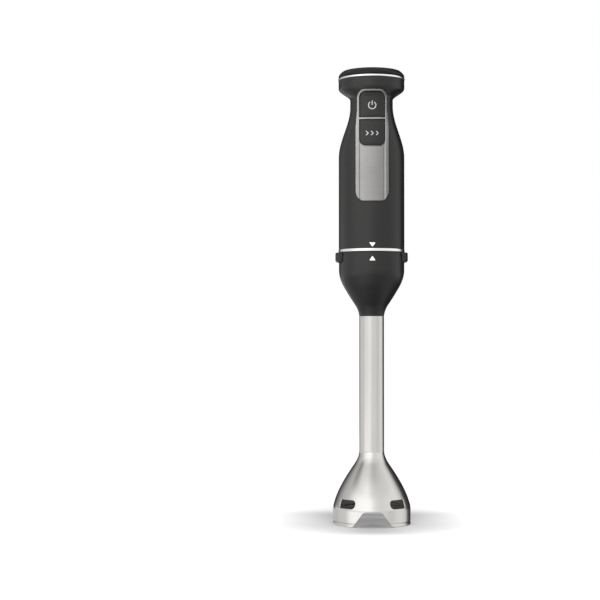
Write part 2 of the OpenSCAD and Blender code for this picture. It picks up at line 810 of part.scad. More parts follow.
module speed_dial() {
    top = dial_z + dial_h;
    rim = [[dial_r - 0.5, dial_z], [dial_r, dial_z + 0.5]];
    side = bezier2([dial_r - 0.1, dial_z + 1.8], [dial_r - 0.9, dial_z + 3.6],
        [dial_top_r + 0.6, top - 0.3], 6);
    dish = bezier2([dial_top_r - 0.4, top], [dial_top_r - 5, top - dish_h], [0, top - dish_h], 8);
    color("#2a2a2a") difference() {
        rotate_extrude() polygon(concat([[0, dial_z], [10, dial_z]], rim, side, dish));
        tube(dial_r - 2.2, spindle_r + 3.6, 2.8, dial_z - 0.5);
        translate([0, 0, dial_z - 1]) cylinder(r = spindle_r + fit, h = 4.7);
    }
}

// The gland is a bush for the supply cord, with a collar inside and a lip outside.
module cord_gland() {
    color("black") difference() {
        union() {
            bar_y(gland_r, gland_seat - 1.75, gland_reach, 0, gland_z);
            bar_y(gland_collar_r, gland_seat - 1.75, gland_seat - fit, 0, gland_z);
            bar_y(gland_r + 1, gland_reach - gland_lip + fit, gland_reach, 0, gland_z);
        }
        bar_y(gland_bore_r, 10, 40, 0, gland_z);
    }
}

module housing_screws() {
    color("silver") at_screws() {
        bar_y(screw_r, -$boss_front + 3.5, screw_seat + 1);
        bar_y(2.9, screw_seat, screw_seat + 2.2);
    }
}

// Motor

module at_motor_screws() {
    for (turn = [45:90:315]) rotate([0, 0, turn]) translate([motor_screw_ring, 0, 0]) children();
}

// A sector of a ring about +X, half_angle each way
module sector(r, bore, half_angle) {
    difference() {
        circle(r);
        circle(bore);
        rotate(half_angle) translate([-60, 0]) square([120, 60]);
        rotate(-half_angle) translate([-60, -60]) square([120, 60]);
    }
}

module stator_core() {
    color("slategray") translate([0, 0, stator_z]) difference() {
        cylinder(r = stator_r, h = stator_len);
        translate([0, 0, -1]) cylinder(r = stator_bore_r, h = stator_len + 2);
        both_sides() translate([0, 0, -1]) linear_extrude(stator_len + 2) sector(coil_r + 0.5, stator_bore_r - 1, 34);
        translate([0, 0, -1]) at_motor_screws() cylinder(r = motor_screw_r + 0.1, h = stator_len + 2);
    }
}

coil_r = 18.4;
bracket_r = stator_r - 0.3;
bracket_bore = coil_r + 0.8;
brush_out = stator_r - 7.8;

module field_coils() {
    bore = stator_bore_r + 0.3;
    low = stator_z - end_turn_h;
    color("chocolate") {
        tube(coil_r, bore, end_turn_h - 0.3, low);
        tube(coil_r, bore, end_turn_h - 0.3, stator_top + 0.3);
        both_sides() translate([0, 0, low + 1]) linear_extrude(coil_top - low - 2)
            sector(coil_r - 0.3, bore + 0.3, 32);
    }
}

module upper_bracket() {
    color("gainsboro") difference() {
        union() {
            tube(bracket_r, bracket_bore, 3, bracket_z);
            translate([0, 0, stator_top + fit]) at_motor_screws()
                cylinder(r = 2.6, h = bracket_z - stator_top + 1);
            for (side = [0, 180]) rotate([0, 0, side])
                block([-5, bracket_bore + 0.3, bracket_z + 1], [5, bracket_r - 1.5, bridge_z + 2]);
            block([-5, 1.5 - bracket_r, bridge_z], [5, bracket_r - 1.5, bridge_z + 3]);
            translate([0, 0, bridge_z]) cylinder(r = bearing_r + 2, h = bearing_h + 1);
        }
        translate([0, 0, bridge_z - 1]) cylinder(r = shaft_r + 1.5, h = 20);
        translate([0, 0, bridge_z + 1]) cylinder(r = bearing_r + fit, h = 20);
        translate([0, 0, stator_top - 1]) at_motor_screws() cylinder(r = motor_screw_r + 0.1, h = 40);
    }
}

module lower_bracket() {
    color("gainsboro") difference() {
        union() {
            tube(bracket_r, bracket_bore - 0.3, bracket_t, low_bracket_z);
            translate([0, 0, low_bracket_z + 1]) at_motor_screws()
                cylinder(r = 2.4, h = stator_z - fit - low_bracket_z - 1);
            for (turn = [0:90:270]) rotate([0, 0, turn])
                block([bearing_r + 1, -2.5, low_bracket_z], [bracket_bore + 0.8, 2.5, low_bracket_z + bracket_t]);
            translate([0, 0, low_bracket_z]) cylinder(r = bearing_r + 2, h = bearing_h + 1);
        }
        translate([0, 0, low_bracket_z - 1]) cylinder(r = shaft_r + 1.5, h = 40);
        translate([0, 0, low_bracket_z + 1]) cylinder(r = bearing_r + fit, h = 20);
        translate([0, 0, low_bracket_z - 1]) at_motor_screws() cylinder(r = motor_screw_r + 0.1, h = 60);
    }
}

module upper_bearing() {
    color("silver") tube(bearing_r, shaft_r + running, bearing_h, bridge_z + 1 + fit);
}

module lower_bearing() {
    color("silver") tube(bearing_r, shaft_r + running, bearing_h, low_bracket_z + 1 + fit);
}

brush_z = holder_z + 3.6;
brush_in = commutator_r + 0.1;

module brush_holders() {
    color("goldenrod") both_sides() difference() {
        block([brush_in + 1, -4.2, holder_z + fit], [bracket_r - 1.2, 4.2, holder_z + 7]);
        block([brush_in, -3.1, brush_z - 2.6], [bracket_r - 2, 3.1, brush_z + 2.6]);
    }
}

module carbon_brushes() {
    color("#303030") both_sides() block([brush_in, -3, brush_z - 2.5], [brush_out, 3, brush_z + 2.5]);
}

module brush_springs() {
    color("silver") both_sides() translate([brush_out + 0.1, 0, brush_z]) rotate([0, 90, 0])
        coil_spring(1.8, 0.35, 5, 5.2);
}

module motor_screws() {
    color("silver") at_motor_screws() {
        translate([0, 0, low_bracket_z]) cylinder(r = motor_screw_r, h = bracket_z + 3 - low_bracket_z + eps);
        translate([0, 0, bracket_z + 3]) cylinder(r = 2.2, h = 1.6);
    }
}

damper_h = 8;

module damper(z) {
    color("black") tube(stator_r + fit + damper_t, stator_r + fit, damper_h, z);
}

module upper_damper() damper(stator_top - damper_h - 0.5);
module lower_damper() damper(stator_z + 0.5);

module motor_shaft() {
    color("silver") translate([0, 0, plug_low + 8]) cylinder(r = shaft_r, h = motor_top + 0.5 - plug_low - 8);
}

module armature_core() {
    color("gray") translate([0, 0, stator_z]) linear_extrude(stator_len) difference() {
        circle(armature_r);
        circle(shaft_r + fit);
        for (i = [0:armature_slots-1]) rotate(360*i/armature_slots) translate([9, -1.1]) square([8, 2.2]);
    }
}

module armature_windings() {
    color("orangered") {
        for (z = [stator_z - 5.8, stator_top + 0.2]) rotate_extrude() polygon(rounded([
            [shaft_r + 1, z, 0], [12.8, z, 2], [12.8, z + 5.6, 2], [shaft_r + 1, z + 5.6, 0]]));
        for (i = [0:armature_slots-1]) rotate([0, 0, 360*i/armature_slots])
            block([9.2, -0.9, stator_z - 1.5], [12.5, 0.9, stator_top + 1.5]);
    }
}

module commutator() {
    color("orange") tube(commutator_r, shaft_r + fit, 10, bracket_z + 1);
}

module cooling_fan() {
    color("#555555") difference() {
        union() {
            translate([0, 0, fan_z]) cylinder(r = fan_r, h = 1.2);
            translate([0, 0, fan_z]) cylinder(r = shaft_r + 3, h = 7);
            for (i = [0:fan_blades-1]) rotate([0, 0, 360*i/fan_blades])
                translate([shaft_r + 2, 0, fan_z]) rotate([0, 0, 12]) cube([fan_r - shaft_r - 3, 1.1, 7]);
        }
        translate([0, 0, fan_z - 1]) cylinder(r = shaft_r + fit, h = 20);
    }
}

module motor_coupling() {
    hub_z = cup_top + 1;
    color("ivory") difference() {
        union() {
            translate([0, 0, plug_low]) linear_extrude(hub_z - plug_low + eps) star(coupling_r, 0);
            translate([0, 0, hub_z]) cylinder(r = 7.6, h = 9);
        }
        translate([0, 0, plug_low + 8 - 0.2]) cylinder(r = shaft_r + fit, h = 40);
    }
}

bell_guard();
arm_tube();
bearing_housing();
lower_bush();
shaft_seal();
shaft_guide();
arm_housing();
upper_bush();
latch_ring();
latch_cover();
drive_shaft();
shaft_coupling();
retaining_clip();
blade();
blade_nut();
release_button_left();
release_button_right();
front_shell();
rear_shell();
lower_trim_ring();
head_trim_ring();
coupling_spigot();
control_panel();
control_carrier();
button_board();
power_switch();
turbo_switch();
power_plunger();
turbo_plunger();
power_button();
turbo_button();
speed_board();
board_components();
head_cap();
speed_sensor();
speed_dial();
dial_spindle();
cord_gland();
housing_screws();
stator_core();
field_coils();
upper_bracket();
lower_bracket();
upper_bearing();
lower_bearing();
brush_holders();
carbon_brushes();
brush_springs();
motor_screws();
upper_damper();
lower_damper();
motor_shaft();
armature_core();
armature_windings();
commutator();
cooling_fan();
motor_coupling();
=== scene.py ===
# Immersion blender: the dressed model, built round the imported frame.
import json
import math

import bpy
import numpy as np
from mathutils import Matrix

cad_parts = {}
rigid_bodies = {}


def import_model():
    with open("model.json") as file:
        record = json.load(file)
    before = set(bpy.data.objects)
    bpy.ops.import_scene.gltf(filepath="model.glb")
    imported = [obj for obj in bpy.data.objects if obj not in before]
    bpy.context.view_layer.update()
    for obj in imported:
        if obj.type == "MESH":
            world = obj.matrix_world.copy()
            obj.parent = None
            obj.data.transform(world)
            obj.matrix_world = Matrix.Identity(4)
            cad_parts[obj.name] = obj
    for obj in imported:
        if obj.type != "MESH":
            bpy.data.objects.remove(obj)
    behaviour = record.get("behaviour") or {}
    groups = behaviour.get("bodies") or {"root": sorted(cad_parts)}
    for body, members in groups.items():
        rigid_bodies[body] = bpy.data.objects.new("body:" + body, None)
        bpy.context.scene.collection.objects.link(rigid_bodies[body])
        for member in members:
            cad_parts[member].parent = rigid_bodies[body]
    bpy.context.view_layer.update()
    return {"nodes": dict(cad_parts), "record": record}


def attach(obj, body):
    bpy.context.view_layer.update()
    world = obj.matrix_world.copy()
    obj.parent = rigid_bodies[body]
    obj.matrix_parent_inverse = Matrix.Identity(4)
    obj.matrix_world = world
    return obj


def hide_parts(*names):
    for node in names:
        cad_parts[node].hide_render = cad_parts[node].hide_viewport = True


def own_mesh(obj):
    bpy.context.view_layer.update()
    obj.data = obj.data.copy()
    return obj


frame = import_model()
mm = 0.001  # shapes are worked out in millimetres and stored in metres


class Settings(dict):
    # A dictionary whose entries also read as settings.name
    __getattr__ = dict.__getitem__


scene = bpy.context.scene


def addToScene(name, data):
    # The data becomes an object of the scene
    thing = bpy.data.objects.new(name, data)
    scene.collection.objects.link(thing)
    return thing


def gridFaces(nu, nv, wrapU=False, wrapV=False):
    # Quads (i, j), (i+1, j), (i+1, j+1), (i, j+1) of a grid of nu by nv points, taken round where it wraps
    i = np.arange(nu if wrapU else nu - 1)[:, None]
    j = np.arange(nv if wrapV else nv - 1)[None, :]
    i2, j2 = (i + 1) % nu, (j + 1) % nv
    corners = np.broadcast_arrays(i*nv + j, i2*nv + j, i2*nv + j2, i*nv + j2)
    return np.stack(corners, -1).reshape(-1, 4)


def weld(points, quads, normals=None):
    # Points that round to the same micron become one; a quad that loses corners becomes a triangle or goes
    keys = np.round(points*1000).astype(np.int64)
    _, first, back = np.unique(keys, axis=0, return_index=True, return_inverse=True)
    quads = back.reshape(-1)[quads]
    nxt = np.roll(quads, -1, 1)
    same = quads == nxt
    good = same.sum(1)
    whole = quads[good == 0]
    whole = whole[(whole[:, 0] != whole[:, 2]) & (whole[:, 1] != whole[:, 3])]
    pinched = quads[good == 1]
    spot = same[good == 1].argmax(1)
    turn = (np.arange(3)[None, :] + spot[:, None] + 1) % 4
    tris = np.take_along_axis(pinched, turn, 1)
    tris = tris[(tris[:, 0] != tris[:, 1]) & (tris[:, 1] != tris[:, 2]) & (tris[:, 0] != tris[:, 2])]
    used, index = np.unique(np.concatenate([whole.ravel(), tris.ravel()]), return_inverse=True)
    index = index.reshape(-1)
    pts = points[first][used]
    nrm = None if normals is None else normals[first][used]
    return pts, index[:whole.size].reshape(-1, 4), index[whole.size:].reshape(-1, 3), nrm


def unit(vectors):
    # Each one divided by its length
    return vectors/np.maximum(np.linalg.norm(vectors, axis=1, keepdims=True), 1e-12)


def areaNormals(points, quads, tris):
    # At each point the sum of its faces' normals, each as long as the face is large
    total = np.zeros_like(points)
    for faces in (quads, tris):
        if len(faces):
            p = points[faces]
            across = np.cross(p[:, 2] - p[:, 0], p[:, -1] - p[:, 1])
            for k in range(faces.shape[1]):
                np.add.at(total, faces[:, k], across)
    return unit(total)


def signedVolume(points, quads, tris):
    # Sum over triangles a, b, c of a . (b x c) / 6
    t = np.concatenate([quads[:, [0, 1, 2]], quads[:, [0, 2, 3]], tris.reshape(-1, 3)])
    a, b, c = points[t[:, 0]], points[t[:, 1]], points[t[:, 2]]
    return np.einsum("ij,ij->i", a, np.cross(b, c)).sum()/6


def makePiece(name, shape, slot, body, node=None, finish=None):
    # A shape, as points in millimetres, quads and perhaps normals, becomes one piece with its faces outward.
    # It rides on its body, stands for the CAD node, and takes the slot's finish unless another is named.
    # Its attribute `inner` is 1 where the surface faces the axis.
    pts, quads, tris, nrm = weld(*shape)
    if signedVolume(pts, quads, tris) < 0:
        quads, tris = quads[:, ::-1], tris[:, ::-1]
    if nrm is None:
        nrm = areaNormals(pts, quads, tris)
    mesh = bpy.data.meshes.new(name)
    mesh.vertices.add(len(pts))
    mesh.vertices.foreach_set("co", (pts*mm).astype(np.float32).ravel())
    loops = np.concatenate([quads.ravel(), tris.ravel()]).astype(np.int32)
    starts = np.concatenate([np.arange(len(quads))*4, len(quads)*4 + np.arange(len(tris))*3]).astype(np.int32)
    mesh.loops.add(len(loops))
    mesh.loops.foreach_set("vertex_index", loops)
    mesh.polygons.add(len(starts))
    mesh.polygons.foreach_set("loop_start", starts)
    mesh.update(calc_edges=True)
    mesh.validate()
    mesh.polygons.foreach_set("use_smooth", np.ones(len(mesh.polygons), bool))
    if len(mesh.vertices) == len(nrm):
        mesh.normals_split_custom_set_from_vertices(nrm.tolist())
        facing = (pts[:, :2]*nrm[:, :2]).sum(1) < -0.2*np.hypot(pts[:, 0], pts[:, 1])
        mesh.attributes.new("inner", "FLOAT", "POINT").data.foreach_set("value", facing.astype(np.float32))
    mesh.materials.append(finishes[finish or slot])
    piece = addToScene(name, mesh)
    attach(piece, body)
    if node:
        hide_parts(node)
    return piece


def circle(count):
    # Even angles round a full turn
    return np.arange(count)*2*math.pi/count


def polar(r, a, z):
    # x = r cos a, y = r sin a, z
    return np.stack(np.broadcast_arrays(r*np.cos(a), r*np.sin(a), z), -1)


def box(left, right, low, high, radii=0.0):
    # A rectangle's corners (x, y, radius), anticlockwise from the lower left, with one radius or four
    radii = np.broadcast_to(radii, 4)
    return [(left, low, radii[0]), (right, low, radii[1]), (right, high, radii[2]), (left, high, radii[3])]


def bezier(points, n):
    # Point at t is the sum of binomial(k, i) (1-t)^(k-i) t^i times point i, for n+1 even steps of t
    points = np.asarray(points, float)
    k = len(points) - 1
    t = np.linspace(0, 1, n + 1)[:, None]
    return sum(math.comb(k, i)*(1 - t)**(k - i)*t**i*points[i] for i in range(k + 1))


def roundedLine(corners, steps=4, closed=True):
    # Each corner (x, y, radius) becomes an arc that touches both sides at d = radius/tan(half the angle) from it
    corners = np.asarray(corners, float)
    n, out = len(corners), []
    for i in range(n):
        here, r = corners[i, :2], corners[i, 2]
        if r <= 0 or (not closed and i in (0, n - 1)):
            out.append(here[None])
            continue
        a, b = corners[i - 1, :2] - here, corners[(i + 1) % n, :2] - here
        la, lb = np.linalg.norm(a), np.linalg.norm(b)
        half = math.acos(np.clip(a @ b/(la*lb), -1, 1))/2
        d = min(r/math.tan(half), 0.495*la, 0.495*lb)
        r = d*math.tan(half)
        middle = here + (a/la + b/lb)/np.linalg.norm(a/la + b/lb)*r/math.sin(half)
        p, q = here + a/la*d - middle, here + b/lb*d - middle
        turn = math.atan2(p[0]*q[1] - p[1]*q[0], p @ q)
        t = np.linspace(0, turn, steps + 1)[:, None]
        side = np.array([-p[1], p[0]])
        out.append(middle + p*np.cos(t) + side*np.sin(t))
    return np.concatenate(out)


def revolve(profile, segments=128, axis="z", at=(0, 0, 0)):
    # The closed profile (r, h) turned about an axis through `at`: across = r cos a, r sin a, along = h
    a = circle(segments)[:, None]
    r, h = np.asarray(profile, float).T
    c, s = np.cos(a)*r, np.sin(a)*r
    h = np.broadcast_to(h, c.shape)
    points = np.stack({"z": (c, s, h), "y": (c, h, -s), "x": (h, c, s)}[axis], -1) + np.asarray(at, float)
    return points.reshape(-1, 3), gridFaces(segments, len(profile), True, True)


def turned(name, corners, segments, slot, body, node, steps=4, finish=None):
    # A piece turned about Z from the corners (r, z, radius) of its section
    return makePiece(name, revolve(roundedLine(corners, steps), segments), slot, body, node, finish)


def loft(sections, closed=False):
    # A surface from each closed section to the next; `sections` holds stages of points
    sections = np.asarray(sections)
    return sections.reshape(-1, 3), gridFaces(*sections.shape[:2], closed, True)


def joined(*shapes):
    # Several (points, quads) as one
    points, quads, n = [], [], 0
    for p, q in shapes:
        points.append(p)
        quads.append(q + n)
        n += len(p)
    return np.concatenate(points), np.concatenate(quads)


class Profile:
    # A line of points (r, z), read by the length run along it
    def __init__(self, line):
        self.r, self.z = line.T
        self.run = np.concatenate([[0], np.cumsum(np.linalg.norm(np.diff(line, axis=0), axis=1))])

    def at(self, run):
        # (r, z) after that length
        return np.interp(run, self.run, self.r), np.interp(run, self.run, self.z)

    def runTo(self, z):
        # The length at which the line comes to height z
        return np.interp(z, self.z, self.run)


def edgeDistance(x, y, starts, sides):
    # Distance from each point to the nearest edge, start + t side with t between 0 and 1
    dx, dy = x - starts[:, 0], y - starts[:, 1]
    t = np.clip((dx*sides[:, 0] + dy*sides[:, 1])/np.maximum((sides**2).sum(1), 1e-18), 0, 1)
    return np.sqrt(((dx - t*sides[:, 0])**2 + (dy - t*sides[:, 1])**2).min(1))


def outlineDistance(x, y, line):
    # Distance from (x, y) to the nearest edge of a closed line, positive inside it
    x, y = np.ravel(x), np.ravel(y)
    a, b = line, np.roll(line, -1, 0)
    d = b - a
    rise = np.where(np.abs(d[:, 1]) < 1e-12, 1e-12, d[:, 1])
    result, chunk = np.empty(len(x)), 20000
    for k in range(0, len(x), chunk):
        px, py = x[k:k + chunk, None], y[k:k + chunk, None]
        paintedShadowBehind = edgeDistance(px, py, a, d)
        crosses = (a[:, 1] > py) != (b[:, 1] > py)
        inside = (crosses & (px < a[:, 0] + (py - a[:, 1])*d[:, 0]/rise)).sum(1) % 2 == 1
        result[k:k + chunk] = np.where(inside, paintedShadowBehind, -paintedShadowBehind)
    return result


def strokeDistance(x, y, line):
    # Distance from (x, y) to an open line
    return edgeDistance(np.ravel(x)[:, None], np.ravel(y)[:, None], line[:-1], np.diff(line, axis=0))


def least(*values):
    # The smallest of several at each point
    return np.minimum.reduce(values)


def roundBox(x, y, halfX, halfY, r):
    # Distance outside a rounded rectangle: |max(q, 0)| + min(max(q), 0) - r, with q = |p| - half + r
    qx, qy = np.abs(x) - halfX + r, np.abs(y) - halfY + r
    return np.hypot(np.maximum(qx, 0), np.maximum(qy, 0)) + np.minimum(np.maximum(qx, qy), 0) - r


def softMin(a, b, r):
    # The smaller of two distances, with the corner between them rounded over r
    h = np.maximum(r - np.abs(a - b), 0)/r
    return np.minimum(a, b) - h*h*r/4


def smooth(t):
    # 3t^2 - 2t^3 between 0 and 1
    t = np.clip(t, 0, 1)
    return t*t*(3 - 2*t)


def spaced(*runs):
    # Levels from the first start to the last end, each run (start, end, step) evenly cut
    parts = [np.linspace(a, b, max(1, round(abs(b - a)/s)) + 1)[:-1] for a, b, s in runs]
    return np.concatenate([*parts, [runs[-1][1]]])


def cutWall(place, keep, uLine, vLine, wall, edge=0.2, wrap=False, steps=3):
    # A wall between place(u, v, 0) and place(u, v, wall), trimmed where keep(points) falls below 0.
    # The trim runs along keep = edge; from there the rim turns over as
    # base(depth) + out*edge*sin(t), depth = edge*(1 - cos t) in front and wall - edge*(1 + cos t) behind.
    nu, nv = len(uLine), len(vLine)
    u, v = [g.ravel() for g in np.meshgrid(uLine, vLine, indexing="ij")]
    cellU, cellV = abs(uLine[1] - uLine[0]), np.tile(np.gradient(vLine), nu)
    quads = gridFaces(nu, nv, wrap)
    points = place(u, v, 0*u)
    quads = quads[keep(points[quads].mean(1)) > edge]
    ends = np.concatenate([quads[:, [k, (k + 1) % 4]] for k in range(4)])
    forward, back = ends[:, 0]*len(u) + ends[:, 1], ends[:, 1]*len(u) + ends[:, 0]
    rim = ends[~np.isin(forward, back)]
    edgePoints, local = np.unique(rim, return_inverse=True)
    local = local.reshape(rim.shape)
    ub, vb, stepU, stepV = u[edgePoints], v[edgePoints], cellU, np.abs(cellV[edgePoints])

    def slopes(ub, vb):
        # Half differences along u and v of the place and of keep
        hu, hv = stepU*0.04, stepV*0.04
        a, b = place(ub + hu, vb, 0*ub), place(ub - hu, vb, 0*ub)
        c, d = place(ub, vb + hv, 0*ub), place(ub, vb - hv, 0*ub)
        pu, pv = (a - b)/(2*hu), (c - d)/(2*hv)[:, None]
        ku, kv = (keep(a) - keep(b))/(2*hu), (keep(c) - keep(d))/(2*hv)
        return pu, pv, ku, kv

    # Steps down the slope of keep bring the rim's points to keep = edge
    for _ in range(12):
        pu, pv, ku, kv = slopes(ub, vb)
        eu, ev = (pu**2).sum(1), (pv**2).sum(1)
        miss = keep(place(ub, vb, 0*ub)) - edge
        scale = miss/np.maximum(ku**2/eu + kv**2/ev, 1e-9)
        ub = ub - np.clip(scale*ku/eu, -stepU, stepU)
        vb = vb - np.clip(scale*kv/ev, -stepV, stepV)
    pu, pv, ku, kv = slopes(ub, vb)
    out = -unit(pu*(ku/(pu**2).sum(1))[:, None] + pv*(kv/(pv**2).sum(1))[:, None])
    u[edgePoints], v[edgePoints] = ub, vb

    def normalsAt(u, v, depth):
        # Across the slopes along u and v, and away from the wall's inner side
        hu, hv = cellU*0.05, np.abs(cellV).mean()*0.05
        pu = place(u + hu, v, depth) - place(u - hu, v, depth)
        pv = place(u, v + hv, depth) - place(u, v - hv, depth)
        n = unit(np.cross(pu, pv))
        outward = place(u, v, 0*u) - place(u, v, 0*u + wall)
        return n*np.sign((n*outward).sum(1))[:, None]

    outer, inner = place(u, v, 0*u), place(u, v, 0*u + wall)
    nOuter, nInner = normalsAt(u, v, 0*u), -normalsAt(u, v, 0*u + wall)
    n0, n1 = nOuter[edgePoints], -nInner[edgePoints]
    rows, rowNormals = [], []
    for t in np.radians([*np.linspace(0, 90, steps + 1)[1:], *np.linspace(90, 180, steps + 1)[:-1]]):
        depth = edge*(1 - math.cos(t)) if len(rows) < steps else wall - edge*(1 + math.cos(t))
        rows.append(place(ub, vb, 0*ub + depth) + out*edge*math.sin(t))
        n = n0 + (n1 - n0)*(depth/wall)
        rowNormals.append(n*math.cos(t) + out*math.sin(t))
    total = nu*nv
    index = [edgePoints, *[2*total + k*len(edgePoints) + np.arange(len(edgePoints)) for k in range(len(rows))],
             edgePoints + total]
    bands = [np.stack([index[k][local[:, 1]], index[k][local[:, 0]],
                       index[k + 1][local[:, 0]], index[k + 1][local[:, 1]]], 1) for k in range(len(index) - 1)]
    allPoints = np.concatenate([outer, inner, *rows])
    allNormals = np.concatenate([nOuter, nInner, *rowNormals])
    faces = np.concatenate([quads, quads[:, ::-1] + total, *bands])
    return allPoints, faces, allNormals


class Nodes:
    # Builds one node tree: make() gives a new node, add() its outputs
    def __init__(self, tree):
        self.tree = tree

    def fill(self, node, sockets):
        # Links or sets the sockets, named by label with _ for a space, or by number as n0
        for key, value in sockets.items():
            key = int(key[1:]) if key[1:].isdigit() else key.replace("_", " ")
            if isinstance(value, bpy.types.NodeSocket):
                self.tree.links.new(value, node.inputs[key])
            else:
                node.inputs[key].default_value = value

    def make(self, kind, settings=None, **sockets):
        # A new node with its settings and sockets
        node = self.tree.nodes.new("ShaderNode" + kind)
        for key, value in (settings or {}).items():
            setattr(node, key, value)
        self.fill(node, sockets)
        return node

    def add(self, kind, settings=None, **sockets):
        return self.make(kind, settings, **sockets).outputs

    def calc(self, operation, a, b):
        # The operation on two values
        return self.add("Math", {"operation": operation}, n0=a, n1=b)[0]

    def mix(self, a, b, share=0.5):
        # a (1 - share) + b share
        return self.add("Mix", {"data_type": "FLOAT"}, Factor=share, A=a, B=b)["Result"]

    def mixColour(self, a, b, share):
        # The same for colours
        return self.add("Mix", {"data_type": "RGBA"}, n0=share, n6=a, n7=b)[2]

    def remap(self, value, low, high, toLow=0.0, toHigh=1.0, kind="LINEAR"):
        # From toLow at low to toHigh at high, and level beyond them
        return self.add("MapRange", {"interpolation_type": kind}, Value=value, From_Min=low, From_Max=high,
                        To_Min=toLow, To_Max=toHigh)["Result"]

    def ramp(self, value, stops):
        # A colour that passes through the stops (value, colour)
        node = self.make("ValToRGB", Fac=value)
        marks = node.color_ramp.elements
        while len(marks) < len(stops):
            marks.new(0.5)
        for mark, (at, colour) in zip(marks, stops):
            mark.position = at
            mark.color = (*colour, 1)
        return node.outputs["Color"]


class Finish(Nodes):
    # A material in the making: lay() feeds its shader, and patterns read Object coordinates
    def __init__(self, name, **shader):
        self.material = bpy.data.materials.new(name)
        self.material.use_nodes = True
        super().__init__(self.material.node_tree)
        self.shader = self.tree.nodes["Principled BSDF"]
        self.place = self.add("TexCoord")["Object"]
        self.lay(**shader)

    def lay(self, **sockets):
        self.fill(self.shader, sockets)

    def stretched(self, scale, turn=(0, 0, 0)):
        # The place, turned and multiplied along each axis
        return self.add("Mapping", Vector=self.place, Scale=scale, Rotation=turn)["Vector"]

    def noise(self, scale, detail=3.0, roughness=0.55, vector=None):
        return self.add("TexNoise", Vector=vector or self.place, Scale=scale, Detail=detail,
                        Roughness=roughness)["Fac"]

    def bands(self, pitch, profile, **sockets):
        # Waves up the Z axis, one every `pitch` millimetres: a wave's length is 1/20 at a scale of 1
        return self.add("TexWave", {"wave_type": "BANDS", "bands_direction": "Z", "wave_profile": profile},
                        Vector=self.place, Scale=1000/pitch/20, **sockets)["Fac"]

    def tint(self, value, colour, spread):
        # From (1 - spread) to (1 + spread) of the colour
        ends = [(0.3, [c*(1 - spread) for c in colour]), (0.7, [min(1, c*(1 + spread)) for c in colour])]
        self.lay(Base_Color=self.ramp(value, ends))

    def gloss(self, value, low, high):
        # Roughness from low to high
        self.lay(Roughness=self.remap(value, 0.0, 1.0, low, high))

    def bump(self, height, strength, depth):
        self.lay(Normal=self.add("Bump", Height=height, Strength=strength, Distance=depth)["Normal"])

    def paintedInnerShade(self, share):
        # Where the points' `inner` is 1: (1 - share) of the colour, a painted shade on the faces towards the axis,
        # and a roughness of 0.5
        inner = self.add("Attribute", {"attribute_name": "inner"})["Fac"]
        colour, rough = [self.shader.inputs[k].links[0].from_socket for k in ("Base Color", "Roughness")]
        darker = self.mixColour(colour, (0, 0, 0, 1), share)
        self.lay(Base_Color=self.mixColour(colour, darker, inner), Roughness=self.mix(rough, 0.5, inner))


def mouldedPlastic(name, colour, roughness=0.46, specular=0.25, grain=0.35, depth=0.012, mottle=0.05):
    # Spark-eroded plastic: a fine grain in the bump, slow changes of tone and gloss, a few rubbed spots
    f = Finish(name, Specular_IOR_Level=specular)
    slow, fine = f.noise(38, 4), f.noise(1000/grain, 3, 0.6)
    specks = f.noise(260, 5, 0.7)
    f.tint(f.mix(slow, specks, 0.35), colour, mottle)
    f.gloss(f.mix(slow, fine, 0.4), roughness - 0.07, roughness + 0.07)
    f.bump(f.mix(fine, specks, 0.3), 0.35, depth*mm)
    return f.material


def brushedMetal(name, colour, roughness=0.25, run="z", fineness=5200, depth=0.004, spread=0.04, metallic=1.0,
                 paintedInnerShade=0.0):
    # Fine scratches that run along one axis, a slower drift of gloss, and faint clouding from handling.
    # Where the points' `inner` is 1 the colour falls to (1 - that last share) of itself, a painted shade on the faces
    # towards the axis, and the gloss to a matt drawn surface.
    f = Finish(name, Metallic=metallic)
    long, across = 26, fineness
    scale = {"z": (across, across, long), "x": (long, across, across), "ring": (long, long, across)}[run]
    scratch = f.noise(1, 3, 0.65, f.stretched(scale))
    bands = f.noise(1, 2, 0.5, f.stretched(tuple(s/9 for s in scale)))
    cloud = f.noise(55, 4)
    f.tint(f.mix(f.mix(scratch, bands, 0.5), cloud, 0.4), colour, spread)
    f.gloss(f.mix(f.mix(scratch, cloud, 0.5), bands, 0.3), roughness*0.72, roughness*1.3)
    f.bump(f.mix(scratch, bands, 0.25), 0.3, depth*mm)
    if paintedInnerShade:
        f.paintedInnerShade(paintedInnerShade)
    return f.material


def softRubber(name, colour, roughness=0.72):
    # Matt rubber: bloom in the tone, a dusty grain
    f = Finish(name, Specular_IOR_Level=0.35)
    slow, fine = f.noise(90, 5, 0.6), f.noise(4200, 3)
    f.tint(slow, colour, 0.16)
    f.gloss(f.mix(slow, fine, 0.5), roughness - 0.1, roughness + 0.1)
    f.bump(fine, 0.4, 0.015*mm)
    return f.material


def wound(name, colour, pitch=0.45, roughness=0.3):
    # Enamelled wire laid side by side: round ridges at the wire's pitch, wavering a little
    f = Finish(name, Metallic=1.0)
    strand = f.bands(pitch, "SIN", Distortion=0.6, Detail=2.0, Detail_Scale=3.0)
    tone = f.noise(300, 3)
    f.tint(f.mix(tone, strand), colour, 0.28)
    f.gloss(tone, roughness - 0.08, roughness + 0.12)
    f.bump(strand, 0.9, 0.12*mm)
    return f.material


def laminated(name, colour, sheet=0.5):
    # Stacked sheets of electrical steel: dark joints at each sheet, varnish runs over them
    f = Finish(name, Metallic=0.85)
    sheets, runs = f.bands(sheet, "SAW", Distortion=0.0), f.noise(1, 4, 0.6, f.stretched((420, 420, 60)))
    f.tint(f.mix(runs, sheets, 0.35), colour, 0.3)
    f.gloss(runs, 0.3, 0.5)
    f.bump(sheets, 0.6, 0.05*mm)
    return f.material


